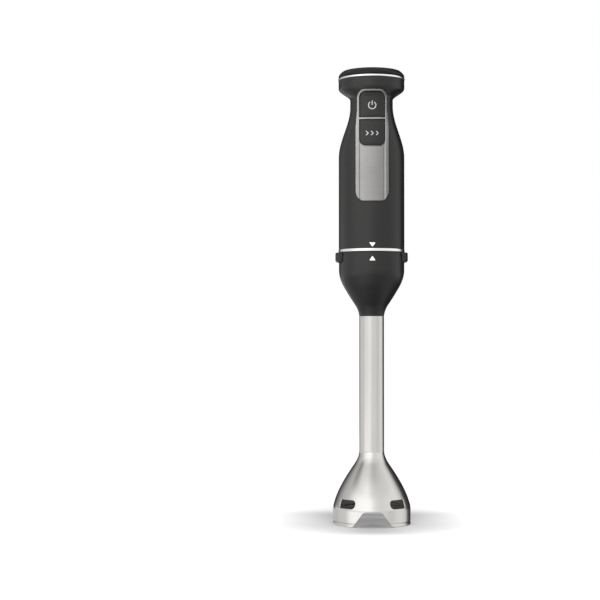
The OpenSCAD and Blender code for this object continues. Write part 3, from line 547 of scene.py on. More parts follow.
def circuitBoard(name, mask, copper):
    # Green solder mask over tracks: square cells pick out runs of copper under the mask
    f = Finish(name, Specular_IOR_Level=0.5)
    cells = f.add("TexVoronoi", {"distance": "MANHATTAN", "feature": "F1"}, Vector=f.place, Scale=620.0)["Distance"]
    lines = f.add("TexBrick", Vector=f.stretched((900, 900, 900), (math.pi/2, 0, 0)), Scale=1.0,
                  Color1=(0, 0, 0, 1), Color2=(0.25, 0.25, 0.25, 1), Mortar=(1, 1, 1, 1))["Fac"]
    track = f.mix(cells, lines, 0.55)
    f.lay(Base_Color=f.ramp(track, [(0.3, mask), (0.52, mask), (0.56, copper), (0.8, mask)]))
    f.gloss(track, 0.22, 0.4)
    f.bump(track, 0.4, 0.03*mm)
    return f.material


def castPart(name, colour, roughness, metallic=0.0, grit=700, depth=0.05, spread=0.15, specular=0.5):
    # A sintered or cast surface: pores in the bump, tone that drifts between them
    f = Finish(name, Metallic=metallic, Specular_IOR_Level=specular)
    pores, slow = f.noise(grit, 5, 0.7), f.noise(120, 3)
    f.tint(f.mix(slow, pores, 0.5), colour, spread)
    f.gloss(pores, roughness - 0.08, roughness + 0.1)
    f.bump(pores, 0.5, depth*mm)
    return f.material


finishes = {
    # The guard's inside takes a painted shade, at 0.78 of its colour
    "guard_steel": brushedMetal("Guard steel", (0.66, 0.645, 0.625), 0.15, "ring", 2600, 0.002, paintedInnerShade=0.78),
    "tube_steel": brushedMetal("Tube steel", (0.66, 0.645, 0.625), 0.15, "z", 3800, 0.002),
    "hub_plastic": mouldedPlastic("Hub plastic", (0.03, 0.03, 0.032), 0.5),
    "bronze": castPart("Sintered bronze", (0.46, 0.27, 0.11), 0.42, 1.0),
    "seal_rubber": softRubber("Seal rubber", (0.018, 0.018, 0.018)),
    "nylon": mouldedPlastic("Nylon", (0.62, 0.6, 0.53), 0.4, 0.5, 0.5),
    "soft_black": mouldedPlastic("Soft-touch charcoal", (0.0062, 0.006, 0.0057), 0.28, 0.48),
    "spring_steel": brushedMetal("Spring steel", (0.55, 0.55, 0.56), 0.2, "ring", 3000),
    "inner_black": mouldedPlastic("Inner moulding", (0.016, 0.016, 0.017), 0.42, 0.4, 0.6),
    "shaft_steel": brushedMetal("Ground shaft", (0.62, 0.62, 0.63), 0.16, "ring", 6000, 0.002),
    "coupling_black": mouldedPlastic("Coupling moulding", (0.02, 0.02, 0.021), 0.38, 0.5),
    "blade_steel": brushedMetal("Blade steel", (0.64, 0.64, 0.65), 0.2, "x", 3200, 0.004, 0.06),
    "trim_chrome": brushedMetal("Satin chrome", (0.93, 0.925, 0.915), 0.13, "ring", 5200, 0.0015, 0.015),
    "panel_silver": brushedMetal("Brushed silver", (0.242, 0.236, 0.231), 0.46, "x", 3200, 0.006, 0.13, 0.1),
    "board_green": circuitBoard("Circuit board", (0.012, 0.09, 0.035), (0.05, 0.19, 0.08)),
    "switch_black": mouldedPlastic("Switch moulding", (0.02, 0.02, 0.02), 0.35, 0.5, 0.4),
    "button_black": mouldedPlastic("Button charcoal", (0.0068, 0.0066, 0.0063), 0.34, 0.47, 0.3, 0.009),
    "component_brown": castPart("Component resin", (0.2, 0.11, 0.05), 0.4, 0.0, 500, 0.02, 0.3),
    "sensor_blue": mouldedPlastic("Sensor moulding", (0.06, 0.085, 0.16), 0.38, 0.5),
    "dial_black": mouldedPlastic("Dial charcoal", (0.0045, 0.0044, 0.0043), 0.34, 0.25, 0.32),
    "gland_rubber": softRubber("Gland rubber", (0.017, 0.017, 0.017)),
    "screw_steel": brushedMetal("Zinc screw", (0.5, 0.5, 0.52), 0.3, "ring", 2000),
    "lamination": laminated("Laminations", (0.3, 0.3, 0.32)),
    "copper": wound("Copper wire", (0.6, 0.21, 0.08)),
    "commutator_copper": castPart("Commutator", (0.72, 0.33, 0.16), 0.26, 1.0, 900, 0.01),
    "bracket_plastic": mouldedPlastic("Bracket moulding", (0.55, 0.54, 0.5), 0.45, 0.5),
    "holder_brass": castPart("Brass", (0.6, 0.42, 0.15), 0.3, 1.0, 900, 0.01),
    "carbon": castPart("Carbon", (0.02, 0.02, 0.022), 0.6, 0.0, 1400, 0.03, 0.4, 0.4),
    "damper_rubber": softRubber("Damper rubber", (0.02, 0.02, 0.02), 0.8),
    "fan_grey": mouldedPlastic("Fan moulding", (0.12, 0.12, 0.125), 0.4, 0.5),
    "coupling_white": mouldedPlastic("Acetal", (0.66, 0.65, 0.6), 0.36, 0.5),
    "mark_white": mouldedPlastic("Printed white", (0.93, 0.92, 0.9), 0.4, 0.3, 0.4, 0.006, 0.03),
    "mark_grey": mouldedPlastic("Printed grey", (0.46, 0.455, 0.445), 0.4, 0.3, 0.4, 0.006, 0.05),
}
print("finishes made:", len(finishes))


# Blending arm: the bell guard, the tube, and what they carry
guard = Settings(
    radius=34, wall=1.2, skirt=14.6, skirtTurn=1.1, height=64, neckRadius=10.85, archTop=13.2, archTopWidth=15.4,
    archFootWidth=34.6, archCorner=4.2, footCorner=1.6, footFlare=5.45, windowWidth=16.8, windowHeight=7.4,
    windowLevel=19.3, windowAngle=42.5, windowCorner=3.4, windowEnd=1.2, beadLevel=2.7, beadDepth=0.22,
    beadHalf=0.5, edge=0.36)


def guardProfile():
    # Lower curve from the skirt to the shoulder, then a fillet up to the tube, as (r, z); the skirt turns over softly
    g = guard
    r, s, h, n, turn = g.radius, g.skirt, g.height, g.neckRadius, g.skirtTurn
    shoulder = (n + 4.15, h - 11.5)
    side = bezier([(r, s), (r - 2.6, s + 13), (n + 12.75, h - 24), shoulder], 60)
    top = bezier([shoulder, (n, h - 5.2), (n, h)], 30)
    straight = np.stack([np.full(20, float(r)), np.linspace(-1.5, s, 20)], 1)
    line = np.concatenate([straight[:-1], side[:-1], top, [(n, h + 2)]])
    before, after = line[line[:, 1] < s - turn], line[line[:, 1] > s + turn]
    return np.concatenate([before, bezier([(r, s - turn), (r, s - 0.1*turn), after[0]], 10)[:-1], after])


guardLine = Profile(guardProfile())
archFoot, archTop = guard.archFootWidth/2, guard.archTopWidth/2
archLine = roundedLine([(-archFoot - guard.footFlare, -2, 0), (-archFoot, 0, guard.footCorner),
                        (-archTop, guard.archTop, guard.archCorner), (archTop, guard.archTop, guard.archCorner),
                        (archFoot, 0, guard.footCorner), (archFoot + guard.footFlare, -2, 0)], 8)


def guardPlace(u, v, depth):
    # Radius and height along the profile at run v, angle u; the bead is a shallow dip round the skirt
    r, z = guardLine.at(v)
    r = r - guard.beadDepth*np.exp(-((z - guard.beadLevel)/guard.beadHalf)**2) - depth
    return polar(r, u, z)


def guardKeep(p):
    # Inside the metal: above the foot, below the top, outside both arches and the two front windows
    g = guard
    x, y, z = np.abs(p[:, 0]), -p[:, 1], p[:, 2]
    arch = -outlineDistance(p[:, 0], z, archLine)
    a = math.radians(g.windowAngle)
    across = x*math.cos(a) - y*math.sin(a)
    corner = g.windowCorner + (g.windowEnd - g.windowCorner)*smooth(across/4 + 0.5)
    window = roundBox(across, z - g.windowLevel, g.windowWidth/2, g.windowHeight/2, corner)
    window = np.where(y > 0, window, 20)
    return least(softMin(z, arch, 1.2), g.height + 0.85*g.edge - z, window)


# Rows are closest where the windows lie
foot, end = guardLine.runTo([0, guard.height])
levels = foot + spaced((0, 9, 0.62), (9, 28, 0.5), (28, end - foot, 1.0))
makePiece("bladeGuard", cutWall(guardPlace, guardKeep, circle(380), levels, guard.wall, guard.edge, True),
          "guard_steel", "arm", "bell_guard")
print("blade guard")

tube = Settings(radius=10.85, bore=9.65, low=64, high=182, edge=0.12)
turned("armTube", box(tube.bore, tube.radius, tube.low, tube.high, (0.1, 0.03, tube.edge, 0.1)), 192,
       "tube_steel", "arm", "arm_tube")

hub = Settings(
    low=26, high=76, radius=9.6, sealRadius=7.25, sealSeat=6, bushRadius=6.05, bushSeat=10, shaft=3, sealHeight=5,
    grooveBore=4.6, grooveRadius=5.9, grooveDepth=0.5)
h = hub
turned("bearingHousing", [
    (h.sealRadius, h.low, 0.3), (h.radius - 1.2, h.low, 0.6), (h.radius, h.low + 2.5, 1.2), (h.radius, h.high, 0.3),
    (h.bushRadius, h.high, 0.3), (h.bushRadius, h.low + h.bushSeat, 0.1), (h.shaft + 1, h.low + h.bushSeat, 0.1),
    (h.shaft + 1, h.low + h.sealSeat, 0.1), (h.sealRadius, h.low + h.sealSeat, 0.1)],
    128, "hub_plastic", "arm", "bearing_housing")
sealRadius, sealTop, grooveTop = h.sealRadius - 0.1, h.low + h.sealHeight, h.low + h.grooveDepth
turned("shaftSeal", [
    (h.shaft + 0.05, h.low + 1, 0.1), (h.shaft + 1, h.low + 0.05, 0.3), (h.grooveBore, h.low, 0.15),
    (h.grooveBore + 0.3, grooveTop, 0.2), (h.grooveRadius - 0.3, grooveTop, 0.2), (h.grooveRadius, h.low, 0.15),
    (sealRadius, h.low, 0.2), (sealRadius, sealTop, 0.2), (h.shaft + 0.05, sealTop, 0.2)],
    96, "seal_rubber", "arm", "shaft_seal")

funnel = Settings(
    radius=28.75, low=182, high=237.7, wall=2.1, edge=0.3, pocketLow=228.95, pocketHalf=12.3, socketRadius=21.1,
    floor=219.5, stepLevel=235.2, stepDepth=0.3, blendHalf=13, blendWidth=6, blendLow=224, blendHeight=3)


def funnelProfile():
    # Fillet out of the tube, a sweep to the collar, a straight collar with a small step near its top, as (r, z)
    f = funnel
    r, z, n, s = f.radius, f.low, tube.radius, f.stepLevel
    fillet, collar = (n + 3.65, z + 9.8), (r - 5.85, z + 23.1)
    low = bezier([(n, z - 0.6), (n + 0.05, z + 0.6), (n + 0.6, z + 5.2), fillet], 30)
    sweep = bezier([fillet, (n + 3.65 + 5.6, z + 18.1), collar], 12)[1:-1]
    side = bezier([collar, (r, z + 32.4), (r, z + 40.5)], 40)
    top = [(r, s - 0.5), (r - f.stepDepth, s + 0.1), (r - f.stepDepth, f.high + 1)]
    return np.concatenate([low, sweep, side, top])


funnelLine = Profile(funnelProfile())


def funnelPlace(u, v, depth):
    # Radius and height along the profile at run v; the angle a is u, and beside the pockets the angle
    # at which y stays the same through the wall, so that the pockets' sides lie along X
    f, (outer, z) = funnel, funnelLine.at(v)
    r, y = outer - depth, outer*np.sin(u)
    level = np.arctan2(y, np.sqrt(np.maximum(r**2 - y**2, 0))*np.sign(np.cos(u)))
    share = (1 - smooth((np.abs(y) - f.blendHalf)/f.blendWidth))*smooth((z - f.blendLow)/f.blendHeight)
    a = u + share*((level - u + math.pi) % (2*math.pi) - math.pi)
    return polar(r, a, z)


def funnelKeep(p):
    # Inside the plastic: between its ends and outside the two pockets for the release buttons
    f = funnel
    pocket = softMin(f.pocketHalf - np.abs(p[:, 1]), p[:, 2] - f.pocketLow, 0.3)
    ends = np.minimum(p[:, 2] - f.low - 0.02, f.high - p[:, 2])
    return softMin(ends, -pocket, 0.8)


foot, end = funnelLine.runTo([funnel.low, funnel.high])
levels = spaced((foot, end - 12, 0.9), (end - 12, end, 0.45))
makePiece("armFunnel", cutWall(funnelPlace, funnelKeep, circle(288), levels, funnel.wall, funnel.edge, True),
          "soft_black", "arm", "arm_housing")
socket = Settings(
    foot=195.5, footBore=12.5, side=[(14.2, 195.5, 0.5), (21.2, 206, 2), (25.6, 217, 2), (26.55, 222, 2)],
    radius=26.55, seatRadius=25.2, seat=230.9, top=236.05, plugLow=169, plugTop=188.5, plugBore=6.05,
    plugRadius=9.6, plugNeck=8.6)
s, f = socket, funnel
turned("armSocket", [
    (s.footBore, s.foot, 0.3), *s.side, (s.radius, s.top, 0.2), (s.seatRadius, s.top, 0.2),
    (s.seatRadius, s.seat, 0.3), (f.socketRadius, s.seat, 0.3), (f.socketRadius, f.floor, 0.5),
    (s.footBore, f.floor, 0.5)],
    160, "soft_black", "arm", "arm_housing", finish="inner_black")
turned("armPlug", [
    (s.plugBore, s.plugLow, 0.2), (s.plugRadius, s.plugLow, 0.4), (s.plugRadius, tube.high - 0.1, 0.3),
    (s.plugNeck, tube.high + 0.6, 0.3), (s.plugNeck, s.plugTop, 0.3), (s.plugBore, s.plugTop, 0.2)],
    96, "soft_black", "arm", "arm_housing", finish="inner_black")

cover = Settings(low=236.12, high=237.68, radius=27.35, bore=21.12, pocket=26.5, half=12.45)


def coverPlace(u, v, depth):
    # A flat ring: radius v, angle u, depth below the top face
    return polar(v, u, cover.high - depth)


def coverKeep(p):
    # Between the bore and the rim, with a flat cut from the rim where each release button sinks in
    r = np.hypot(p[:, 0], p[:, 1])
    pocket = softMin(cover.half - np.abs(p[:, 1]), r - cover.pocket, 0.8)
    return least(cover.radius - r, r - cover.bore, -pocket)


levels = np.linspace(cover.bore, cover.radius, 13)
makePiece("latchCover", cutWall(coverPlace, coverKeep, circle(240), levels, cover.high - cover.low, 0.25, True),
          "coupling_black", "arm", "latch_cover")

release = Settings(
    inner=29.1, outer=31.9, low=229.3, high=237.7, half=12, ribs=4, ribDepth=0.28, pinRadius=2, pinStart=24.65,
    straight=0.9, draw=0.8, sink=0.38, cell=0.45)


def releaseShape(side):
    # Section (r, z) carried over the pad's width, y = half s; past the straight part of that the outer face draws in
    # by 1 - sqrt(1 - e^2), with e from 0 to 1, and grip ribs wave it. The pin is a stub on the pad's inner face.
    q = release
    corners = [(q.inner, q.low + 0.05, 0.35), (q.outer - 1.1, q.low + 0.05, 0.5), (q.outer, q.low + 1.5, 0.8),
               (q.outer, q.high, 0.9), (q.inner, q.high, 0.35)]
    line, dense = roundedLine(corners, 6), []
    for a, b in zip(line, np.roll(line, -1, 0)):
        steps = max(1, int(np.linalg.norm(b - a)/q.cell))
        dense.append(a + (b - a)*np.linspace(0, 1, steps + 1)[:-1, None])
    r0, z0 = np.concatenate(dense).T
    tail = np.linspace(q.straight, 1, 12)[1:]
    s = np.concatenate([-tail[::-1], np.linspace(-q.straight, q.straight, 120), tail])[:, None]
    drawn = 1 - np.sqrt(np.maximum(1 - np.clip((np.abs(s) - q.straight)/(1 - q.straight), 0, 1)**2, 0))
    outside = (r0 - q.inner)/(q.outer - q.inner)
    inward = q.sink*smooth((np.abs(s) - 0.76)/0.06)
    middle = (q.low + q.high)/2
    z = middle + (z0 - middle)*(1 - 0.07*outside*drawn)
    face = smooth((r0 - q.outer + 0.5)/0.3)*smooth((z0 - q.low - 2)/0.8)*smooth((q.high - 1.3 - z0)/0.6)
    rib = smooth((0.8 - np.abs(s))/0.1)*(0.5 - 0.5*np.cos(s*math.pi*2*q.ribs))
    r = r0 - q.draw*outside*drawn - inward*(1 - outside) - q.ribDepth*face*rib
    y = np.broadcast_to(s*q.half, r.shape)
    points = np.stack([np.sqrt(r**2 - y**2), y, z], -1)
    caps = []
    for end in (0, -1):
        centre = points[end].mean(0)
        caps.append(centre + (points[end] - centre)*np.linspace(1, 0, 7)[1:, None, None])
    pad = loft(np.concatenate([caps[0][::-1], points, caps[1]]))
    line = roundedLine(box(0, q.pinRadius, q.pinStart, q.inner + 0.4, (0, 0.5, 0, 0)))
    pin = revolve(line, 40, "x", (0, 0, middle))
    for points, _ in (pad, pin):
        points[:, 0] *= side
    return pad, pin


for side, name in ((-1, "Left"), (1, "Right")):
    pad, pin = releaseShape(side)
    body, node = "release_" + name.lower(), "release_button_" + name.lower()
    makePiece("releasePad" + name, pad, "button_black", body, node)
    makePiece("releasePin" + name, pin, "button_black", body, node)

latch = Settings(
    inner=23.4, outer=24.6, low=231.2, high=235.8, toothTip=19.9, toothAngle=13, toothLow=232.3, toothHigh=234.7,
    pressed=22.3)


def sweptArc(corners, start, end, count):
    # A convex section (r, z) swept about the axis between two angles in degrees, with flat ends
    r, z = roundedLine(corners, 2).T
    points = polar(r, np.radians(np.linspace(start, end, count))[:, None], z)
    ends = [np.broadcast_to(points[k].mean(0), points[k].shape)[None] for k in (0, -1)]
    return loft(np.concatenate([ends[0], points, ends[1]]))


def latchHalf(side):
    # Half of the springy ring, with half of each tooth, on the +X or -X side
    q = latch
    band = box(q.inner, q.outer, q.low, q.high, 0.2)
    tooth = box(q.toothTip, q.inner + 0.1, q.toothLow, q.toothHigh, (0.3, 0.1, 0.1, 0.3))
    points, quads = joined(sweptArc(band, -90, 90, 97), sweptArc(tooth, -90, -90 + q.toothAngle, 9),
                           sweptArc(tooth, 90 - q.toothAngle, 90, 9))
    return points*(side, 1, 1), quads


for side, name in ((-1, "Left"), (1, "Right")):
    half = makePiece("latchRing" + name, latchHalf(side), "spring_steel", "arm", "latch_ring")
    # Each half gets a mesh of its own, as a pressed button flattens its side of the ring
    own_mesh(half)
print("arm housing, release buttons and latch")

# Drive: shaft, blade and nut
shaft = Settings(radius=3, low=12, high=207.5)
turned("driveShaft", box(0, shaft.radius, shaft.low, shaft.high, (0, 0.3, 0.5, 0)), 96,
       "shaft_steel", "blade_drive", "drive_shaft")

blade = Settings(
    level=18, thick=1.2, long=25, short=19, root=9, tip=5, tipLength=2.6, down=7, up=12, hub=6, waist=0.7, bore=3.06,
    start=3.5, longTurn=20, grind=2.1, edge=0.16, bend=4.0, bendRound=2.2)


def wingShape(reach, lean, turn):
    # A wing: outline distance d gives the half thickness, thick/2 * clamp(edge + (1 - edge) d/grind);
    # the plate leans by `lean` past the bend, and turns about the axis
    b = blade
    lean, turn = math.radians(lean), math.radians(turn)
    s, w = np.meshgrid(np.linspace(0, 1, 60), np.linspace(-1, 1, 33), indexing="ij")
    x = b.start + s*(reach - b.start)
    # the tip corners draw the width in and slant it
    tipIn = np.clip((x - reach + b.tipLength)/b.tipLength, 0, 1)
    half = (b.root + (b.tip - b.root)*s)/2*np.sqrt(np.maximum(1 - (tipIn*0.9)**2.2, 0.02))
    y = w*half
    x = x - 0.72*tipIn*np.maximum(w, 0)
    d = np.minimum(half*(1 - np.abs(w)), (1 - s)*(reach - b.start))
    thick = b.thick/2*(b.edge + (1 - b.edge)*np.clip(d/b.grind, 0, 1))
    drop = math.tan(lean)*(np.sqrt(np.maximum(x - b.bend, 0)**2 + b.bendRound) - math.sqrt(b.bendRound))
    x = b.bend + (x - b.bend)*math.cos(lean)
    c, q = math.cos(turn), math.sin(turn)
    top, low = [np.stack([x*c - y*q, x*q + y*c, b.level + b.thick/2 + drop + k*thick], -1) for k in (1, -1)]
    loop = np.concatenate([top, low[:, ::-1]], 1)
    ends = [(loop[k] + loop[k, ::-1])[None]/2 for k in (0, -1)]
    return loft(np.concatenate([ends[0], loop, ends[1]]))


b = blade
wings = [wingShape(b.long, -b.down, b.longTurn + k) for k in (0, 180)]
wings += [wingShape(b.short, b.up, b.longTurn + 90 + k) for k in (0, 180)]
makePiece("bladeWings", joined(*wings), "blade_steel", "blade_drive", "blade")
turned("bladeHub", [
    (b.bore, b.level - 4, 0.2), (b.hub, b.level - 4, 0.5), (b.hub, b.level - 0.9, 0.3),
    (b.hub - b.waist, b.level - 0.6, 0.2), (b.hub - b.waist, b.level + 1.8, 0.2), (b.hub, b.level + 2.1, 0.3),
    (b.hub, b.level + 6, 0.8), (b.bore, b.level + 6, 0.2)], 96, "blade_steel", "blade_drive", "blade")

nut = Settings(low=10.4, radius=4.9, sides=6)


def nutShape():
    # Hexagon whose corners are turned off: r = flat / cos(a mod 60 - 30), cut at a cone near both faces.
    # Each ring is its radius, or None at the hexagon, its height, and the share of the corners' radius left there.
    q = nut
    a, wedge = circle(180), 2*math.pi/q.sides
    hexagon = q.radius*math.cos(wedge/2)/np.cos((a % wedge) - wedge/2)
    rings = []
    for r, z, cut in ((0, 0, 1), (3.1, 0, 1), (3.3, 0.35, 1), (3.5, 0, 1), (4.0, 0, 1), (None, 0.28, 0.955),
                      (None, 0.6, 1), (None, 3.0, 1), (None, 3.32, 0.955), (4.0, 3.6, 1), (0, 3.6, 1)):
        r = np.minimum(hexagon, q.radius*cut) if r is None else r
        rings.append(polar(r, a, q.low + z))
    return loft(rings)


makePiece("bladeNut", nutShape(), "screw_steel", "blade_drive", "blade_nut")
print("blade and drive")

handle = Settings(
    bodyRadius=28.9, headRadius=29, neckHalf=18.7, neckFront=25.4, neckRear=21, neckSquare=2.8, low=240.75,
    shoulder=321, neck=366.5, flare=372, head=382.5, rim=389.4, wall=2.4, edge=0.3, seam=0.04)


def section(z):
    # Half widths at a height, to the side, forward and back, and the power of the front's curve.
    # Each goes from the body to the neck and on to the head along half a cosine wave.
    h = handle
    down = np.clip((z - h.shoulder)/(h.neck - h.shoulder), 0, 1)
    up = np.clip((z - h.flare)/(h.head - h.flare), 0, 1)
    full = 1 - (1 - np.cos(math.pi*down))/2 + (1 - np.cos(math.pi*up))/2
    r = np.where(z > h.neck, h.headRadius, h.bodyRadius)
    side, front, rear = (h[k] + (r - h[k])*full for k in ("neckHalf", "neckFront", "neckRear"))
    return side, front, rear, 2 + (h.neckSquare - 2)*(1 - full)


def skinPlace(u, v, depth):
    # Round the handle: x = side k cos u, y = -front k sin u, with k = (|cos u|^n + |sin u|^n)^(-1/n); behind, n is 2
    side, front, rear, n = section(v)
    c, s = np.cos(u), np.sin(u)
    n = np.where(s >= 0, n, 2.0)
    k = (np.abs(c)**n + np.abs(s)**n)**(-1/n)
    y = np.where(s >= 0, -(front - depth), -(rear - depth))*k*s
    return np.stack([(side - depth)*k*c, y, v], -1)


def frontPlace(x, z, rise):
    # A point of the front face over (x, z), `rise` proud of the skin: y = -front (1 - (|x|/side)^n)^(1/n)
    side, front, rear, n = section(z)
    return np.stack([x, -(front + rise)*(1 - (np.abs(x)/(side + rise))**n)**(1/n), z], -1)


def rearFace(x, z):
    # How far behind the axis the skin lies
    side, front, rear, n = section(z)
    return rear*np.sqrt(1 - (x/side)**2)


panel = Settings(
    top=378.3, low=281.5, topHalf=13.3, lowHalf=14.5, widen=(345.9, 360.5), proud=0.4, thick=2.0, topRadius=7,
    crown=0.48, recess=0.4, bank=0.7, groove=0.18, grooveHalf=0.55, plateHalf=11.1, plateLow=274, plateRadius=5.4,
    gap=0.2)
buttons = Settings(
    half=10.8, powerTop=376.1, powerLow=354.5, turboTop=351.9, turboLow=329.6, radius=5.2, proud=0.3, back=2.9,
    pillow=0.35, pillowWidth=2.4, clearance=0.45, powerMid=365.3, turboMid=340.75, stem=2.4, stemEnd=-21.5)
margin = 0.3  # how far a grid reaches past what it is trimmed to


def panelOutline():
    # Straight sides that widen downwards, round shoulders at the top, longer curves at the foot
    p = panel
    foot = bezier([(-p.lowHalf, p.low + 9.2), (-p.lowHalf, p.low + 4.2), (-p.lowHalf + 2.6, p.low),
                   (-p.lowHalf + 7.4, p.low)], 14)
    right = foot[::-1]*[-1, 1]
    top = roundedLine([(p.topHalf, p.widen[1], 0), (p.topHalf, p.top, p.topRadius),
                       (-p.topHalf, p.top, p.topRadius), (-p.topHalf, p.widen[1], 0)], 12, False)
    return np.concatenate([foot, right, [(p.lowHalf, p.widen[0])], top, [(-p.lowHalf, p.widen[0])]])


def buttonOutline(which, grow=0.0):
    # A square with its two outer corners well rounded and the two that face the other button nearly sharp
    b = buttons
    half, low, top = b.half + grow, b[which + "Low"] - grow, b[which + "Top"] + grow
    up, down = (b.radius + grow, 0.6) if which == "power" else (0.6, b.radius + grow)
    return roundedLine(box(-half, half, low, top, (down, down, up, up)), 10)


panelLine = panelOutline()
holes = [buttonOutline("power", buttons.clearance), buttonOutline("turbo", buttons.clearance)]


def frontKeep(p):
    # The front half, between the handle's ends and outside the opening that the panel has in its face
    h, (x, y, z) = handle, p.T
    opening = np.where(y < -8, -panel.gap - outlineDistance(x, z, panelLine), 50)
    return least(-y - h.seam, z - h.low, h.rim - z, opening)


vents = Settings(count=6, low=254.5, pitch=4.5, half=13, halfHeight=1.0)
screws = Settings(
    places=[(18.94, 330.5), (20.1, 384.5)], well=3.3, seat=9, head=2.9, rise=2.2, boss=4.2, shank=1.5, tip=-17.2,
    slot=0.42, slotReach=1.75, slotDepth=1.3)
gland = Settings(
    level=381.9, radius=5.4, bore=3.5, start=20.6, reach=33.8, lip=6.4, boss=7.0, bossStart=22.35, bossEnd=31.8)


def rearKeep(p):
    # The rear half, between the ends and outside the vents, the screw wells and the cord's boss
    h, v, s = handle, vents, screws
    x, y, z = np.abs(p[:, 0]), p[:, 1], p[:, 2]
    row = v.low + v.pitch*np.clip(np.round((z - v.low)/v.pitch), 0, v.count - 1)
    slits = roundBox(x, z - row, v.half, v.halfHeight, v.halfHeight*0.98)
    wells = [np.hypot(x - sx, z - sz) - s.well for sx, sz in s.places]
    boss = np.hypot(x, z - gland.level) - gland.boss + 0.25
    return least(z - h.low, h.rim - z, y - h.seam, slits, *wells, boss)


# The walls' grids are finer where the panel, the vents and the screw wells cut them
h = handle
levels = spaced((h.low, 280, 0.9), (280, 292, 0.6), (292, 328, 1.0), (328, h.rim, 0.7))
makePiece("frontShell", cutWall(skinPlace, frontKeep, np.linspace(0, math.pi, 151), levels, h.wall, h.edge),
          "soft_black", "handle", "front_shell")
levels = spaced((h.low, 252, 0.9), (252, 279, 0.35), (279, 325, 1.0), (325, 336, 0.55), (336, 374, 1.0),
                (374, h.rim, 0.55))
makePiece("rearShell", cutWall(skinPlace, rearKeep, np.linspace(math.pi, 2*math.pi, 151), levels, h.wall, h.edge),
          "soft_black", "handle", "rear_shell")


def screwWell(side, x, z):
    # A boss with a counterbore whose mouth follows the inside of the skin, as rings of radius and depth
    s = screws
    a, rings, hole = circle(64), [], s.shank + 0.25
    for r, level in ((hole, s.seat), (s.well - 0.3, s.seat), (s.well, s.seat + 0.3), (s.well, None),
                     (s.boss, None), (s.boss, handle.seam), (hole, handle.seam)):
        px, pz = x + r*np.cos(a), z + r*np.sin(a)
        y = rearFace(px, np.minimum(pz, handle.rim - 0.6)) - 0.8 if level is None else 0*a + level
        rings.append(np.stack([side*px, y, pz], -1))
    return loft(rings, True)


def frontBoss(side, x, z):
    # The front half of the same boss, from the seam to the inside of the skin
    s = screws
    reach = float(frontPlace(np.array([x + s.boss]), np.array([z]), 0.0)[0, 1]) + 0.6*handle.wall
    line = roundedLine(box(s.shank, s.boss, -handle.seam, reach, (0.1, 0.3, 0, 0)))
    return revolve(line, 40, "y", (side*x, 0, z))


def atScrews(shape):
    # One of the shape at each screw, left and right
    return joined(*[shape(side, *place) for place in screws.places for side in (-1, 1)])


g = gland
line = roundedLine(box(g.radius + 0.05, g.boss, g.bossStart, g.bossEnd, (0.1, 0.2, 0.7, 0.15)), 6)
wells = joined(atScrews(screwWell), revolve(line, 96, "y", (0, 0, g.level)))
makePiece("rearBosses", wells, "soft_black", "handle", "rear_shell")
makePiece("frontBosses", atScrews(frontBoss), "soft_black", "handle", "front_shell")
print("handle shells")


def screwHead(side, x, z):
    # Pan head: height = rise (0.62 + 0.38 sqrt(1 - (r/1.08R)^2)), less a cross-shaped recess with tapering arms
    s = screws
    a = circle(72)
    c, n = np.cos(a)[:, None], np.sin(a)[:, None]
    r = np.concatenate([np.linspace(0, s.slotReach + 0.2, 16), np.linspace(s.slotReach + 0.3, s.head, 7)])
    dome = s.rise*(0.62 + 0.38*np.sqrt(1 - np.minimum(r/(1.08*s.head), 1)**2))
    arm = np.minimum(np.abs(c*r), np.abs(n*r)) - s.slot*(1.15 - r/s.slotReach*0.45)
    inside = smooth(-arm/0.16)*smooth((s.slotReach - r)/0.25)
    y = s.seat + dome - s.slotDepth*inside*(1 - 0.35*r/s.slotReach)
    rim, level = np.array([(s.head + 0.04, s.seat + 0.9), (s.head - 0.05, s.seat + 0.02), (s.shank, s.seat),
                           (s.shank, s.tip + 1.2), (s.shank - 0.7, s.tip), (0.0, s.tip)]).T
    r, y = np.concatenate([r, rim]), np.concatenate([y, level + 0*c], 1)
    grid = np.stack([side*c*r + side*x, y, n*r + z], -1)
    return loft(grid.transpose(1, 0, 2))


makePiece("housingScrews", atScrews(screwHead), "screw_steel", "handle", "housing_screws")
line = roundedLine([
    (g.bore, g.start, 0.3), (g.lip + 0.2, g.start, 0.3), (g.lip + 0.2, g.start + 1.7, 0.3),
    (g.radius, g.start + 1.7, 0), (g.radius, g.bossEnd + 0.05, 0), (g.lip, g.bossEnd + 0.05, 0.25),
    (g.lip, g.reach - 0.9, 0.5), (g.lip - 0.7, g.reach, 0.5), (g.bore + 0.9, g.reach, 0.5),
    (g.bore + 0.35, g.reach - 0.7, 0.3), (g.bore, g.reach - 1.1, 0.3)], 6)
makePiece("cordGland", revolve(line, 120, "y", (0, 0, g.level)), "gland_rubber", "handle", "cord_gland")


def panelRise(x, z):
    # The frame is a low bead, crown sqrt(4ab/(a+b)^2) at a from its outer and b from its inner line; the plate inside
    # lies lower, past a fine groove, groove exp(-(d/grooveHalf - 1)^2) at d from the plate's edge
    p = panel
    a = outlineDistance(x, z, panelLine)
    middle, half = (p.plateLow + buttons.turboTop)/2, (buttons.turboTop - p.plateLow)/2
    plate = -roundBox(x, z - middle, p.plateHalf, half, p.plateRadius)
    b = least(-plate, *[-outlineDistance(x, z, hole) for hole in holes])
    inside = (a > 0) & (b > 0)
    bead = np.where(inside, 4*a*b/np.maximum(np.abs(a) + np.abs(b), 1e-6)**2, 0)
    groove = p.groove*np.exp(-((plate - p.grooveHalf)/p.grooveHalf)**2)
    return p.proud + p.crown*(np.sqrt(bead + 0.04) - 0.2) - p.recess*smooth(plate/p.bank) - groove


def panelPlace(x, z, depth):
    # The panel's surface over (x, z); its back follows the skin, level
    rise = panelRise(x, z)
    thick = np.where(depth > 0, depth + rise - panel.proud, 0)
    return frontPlace(x, z, rise - thick)


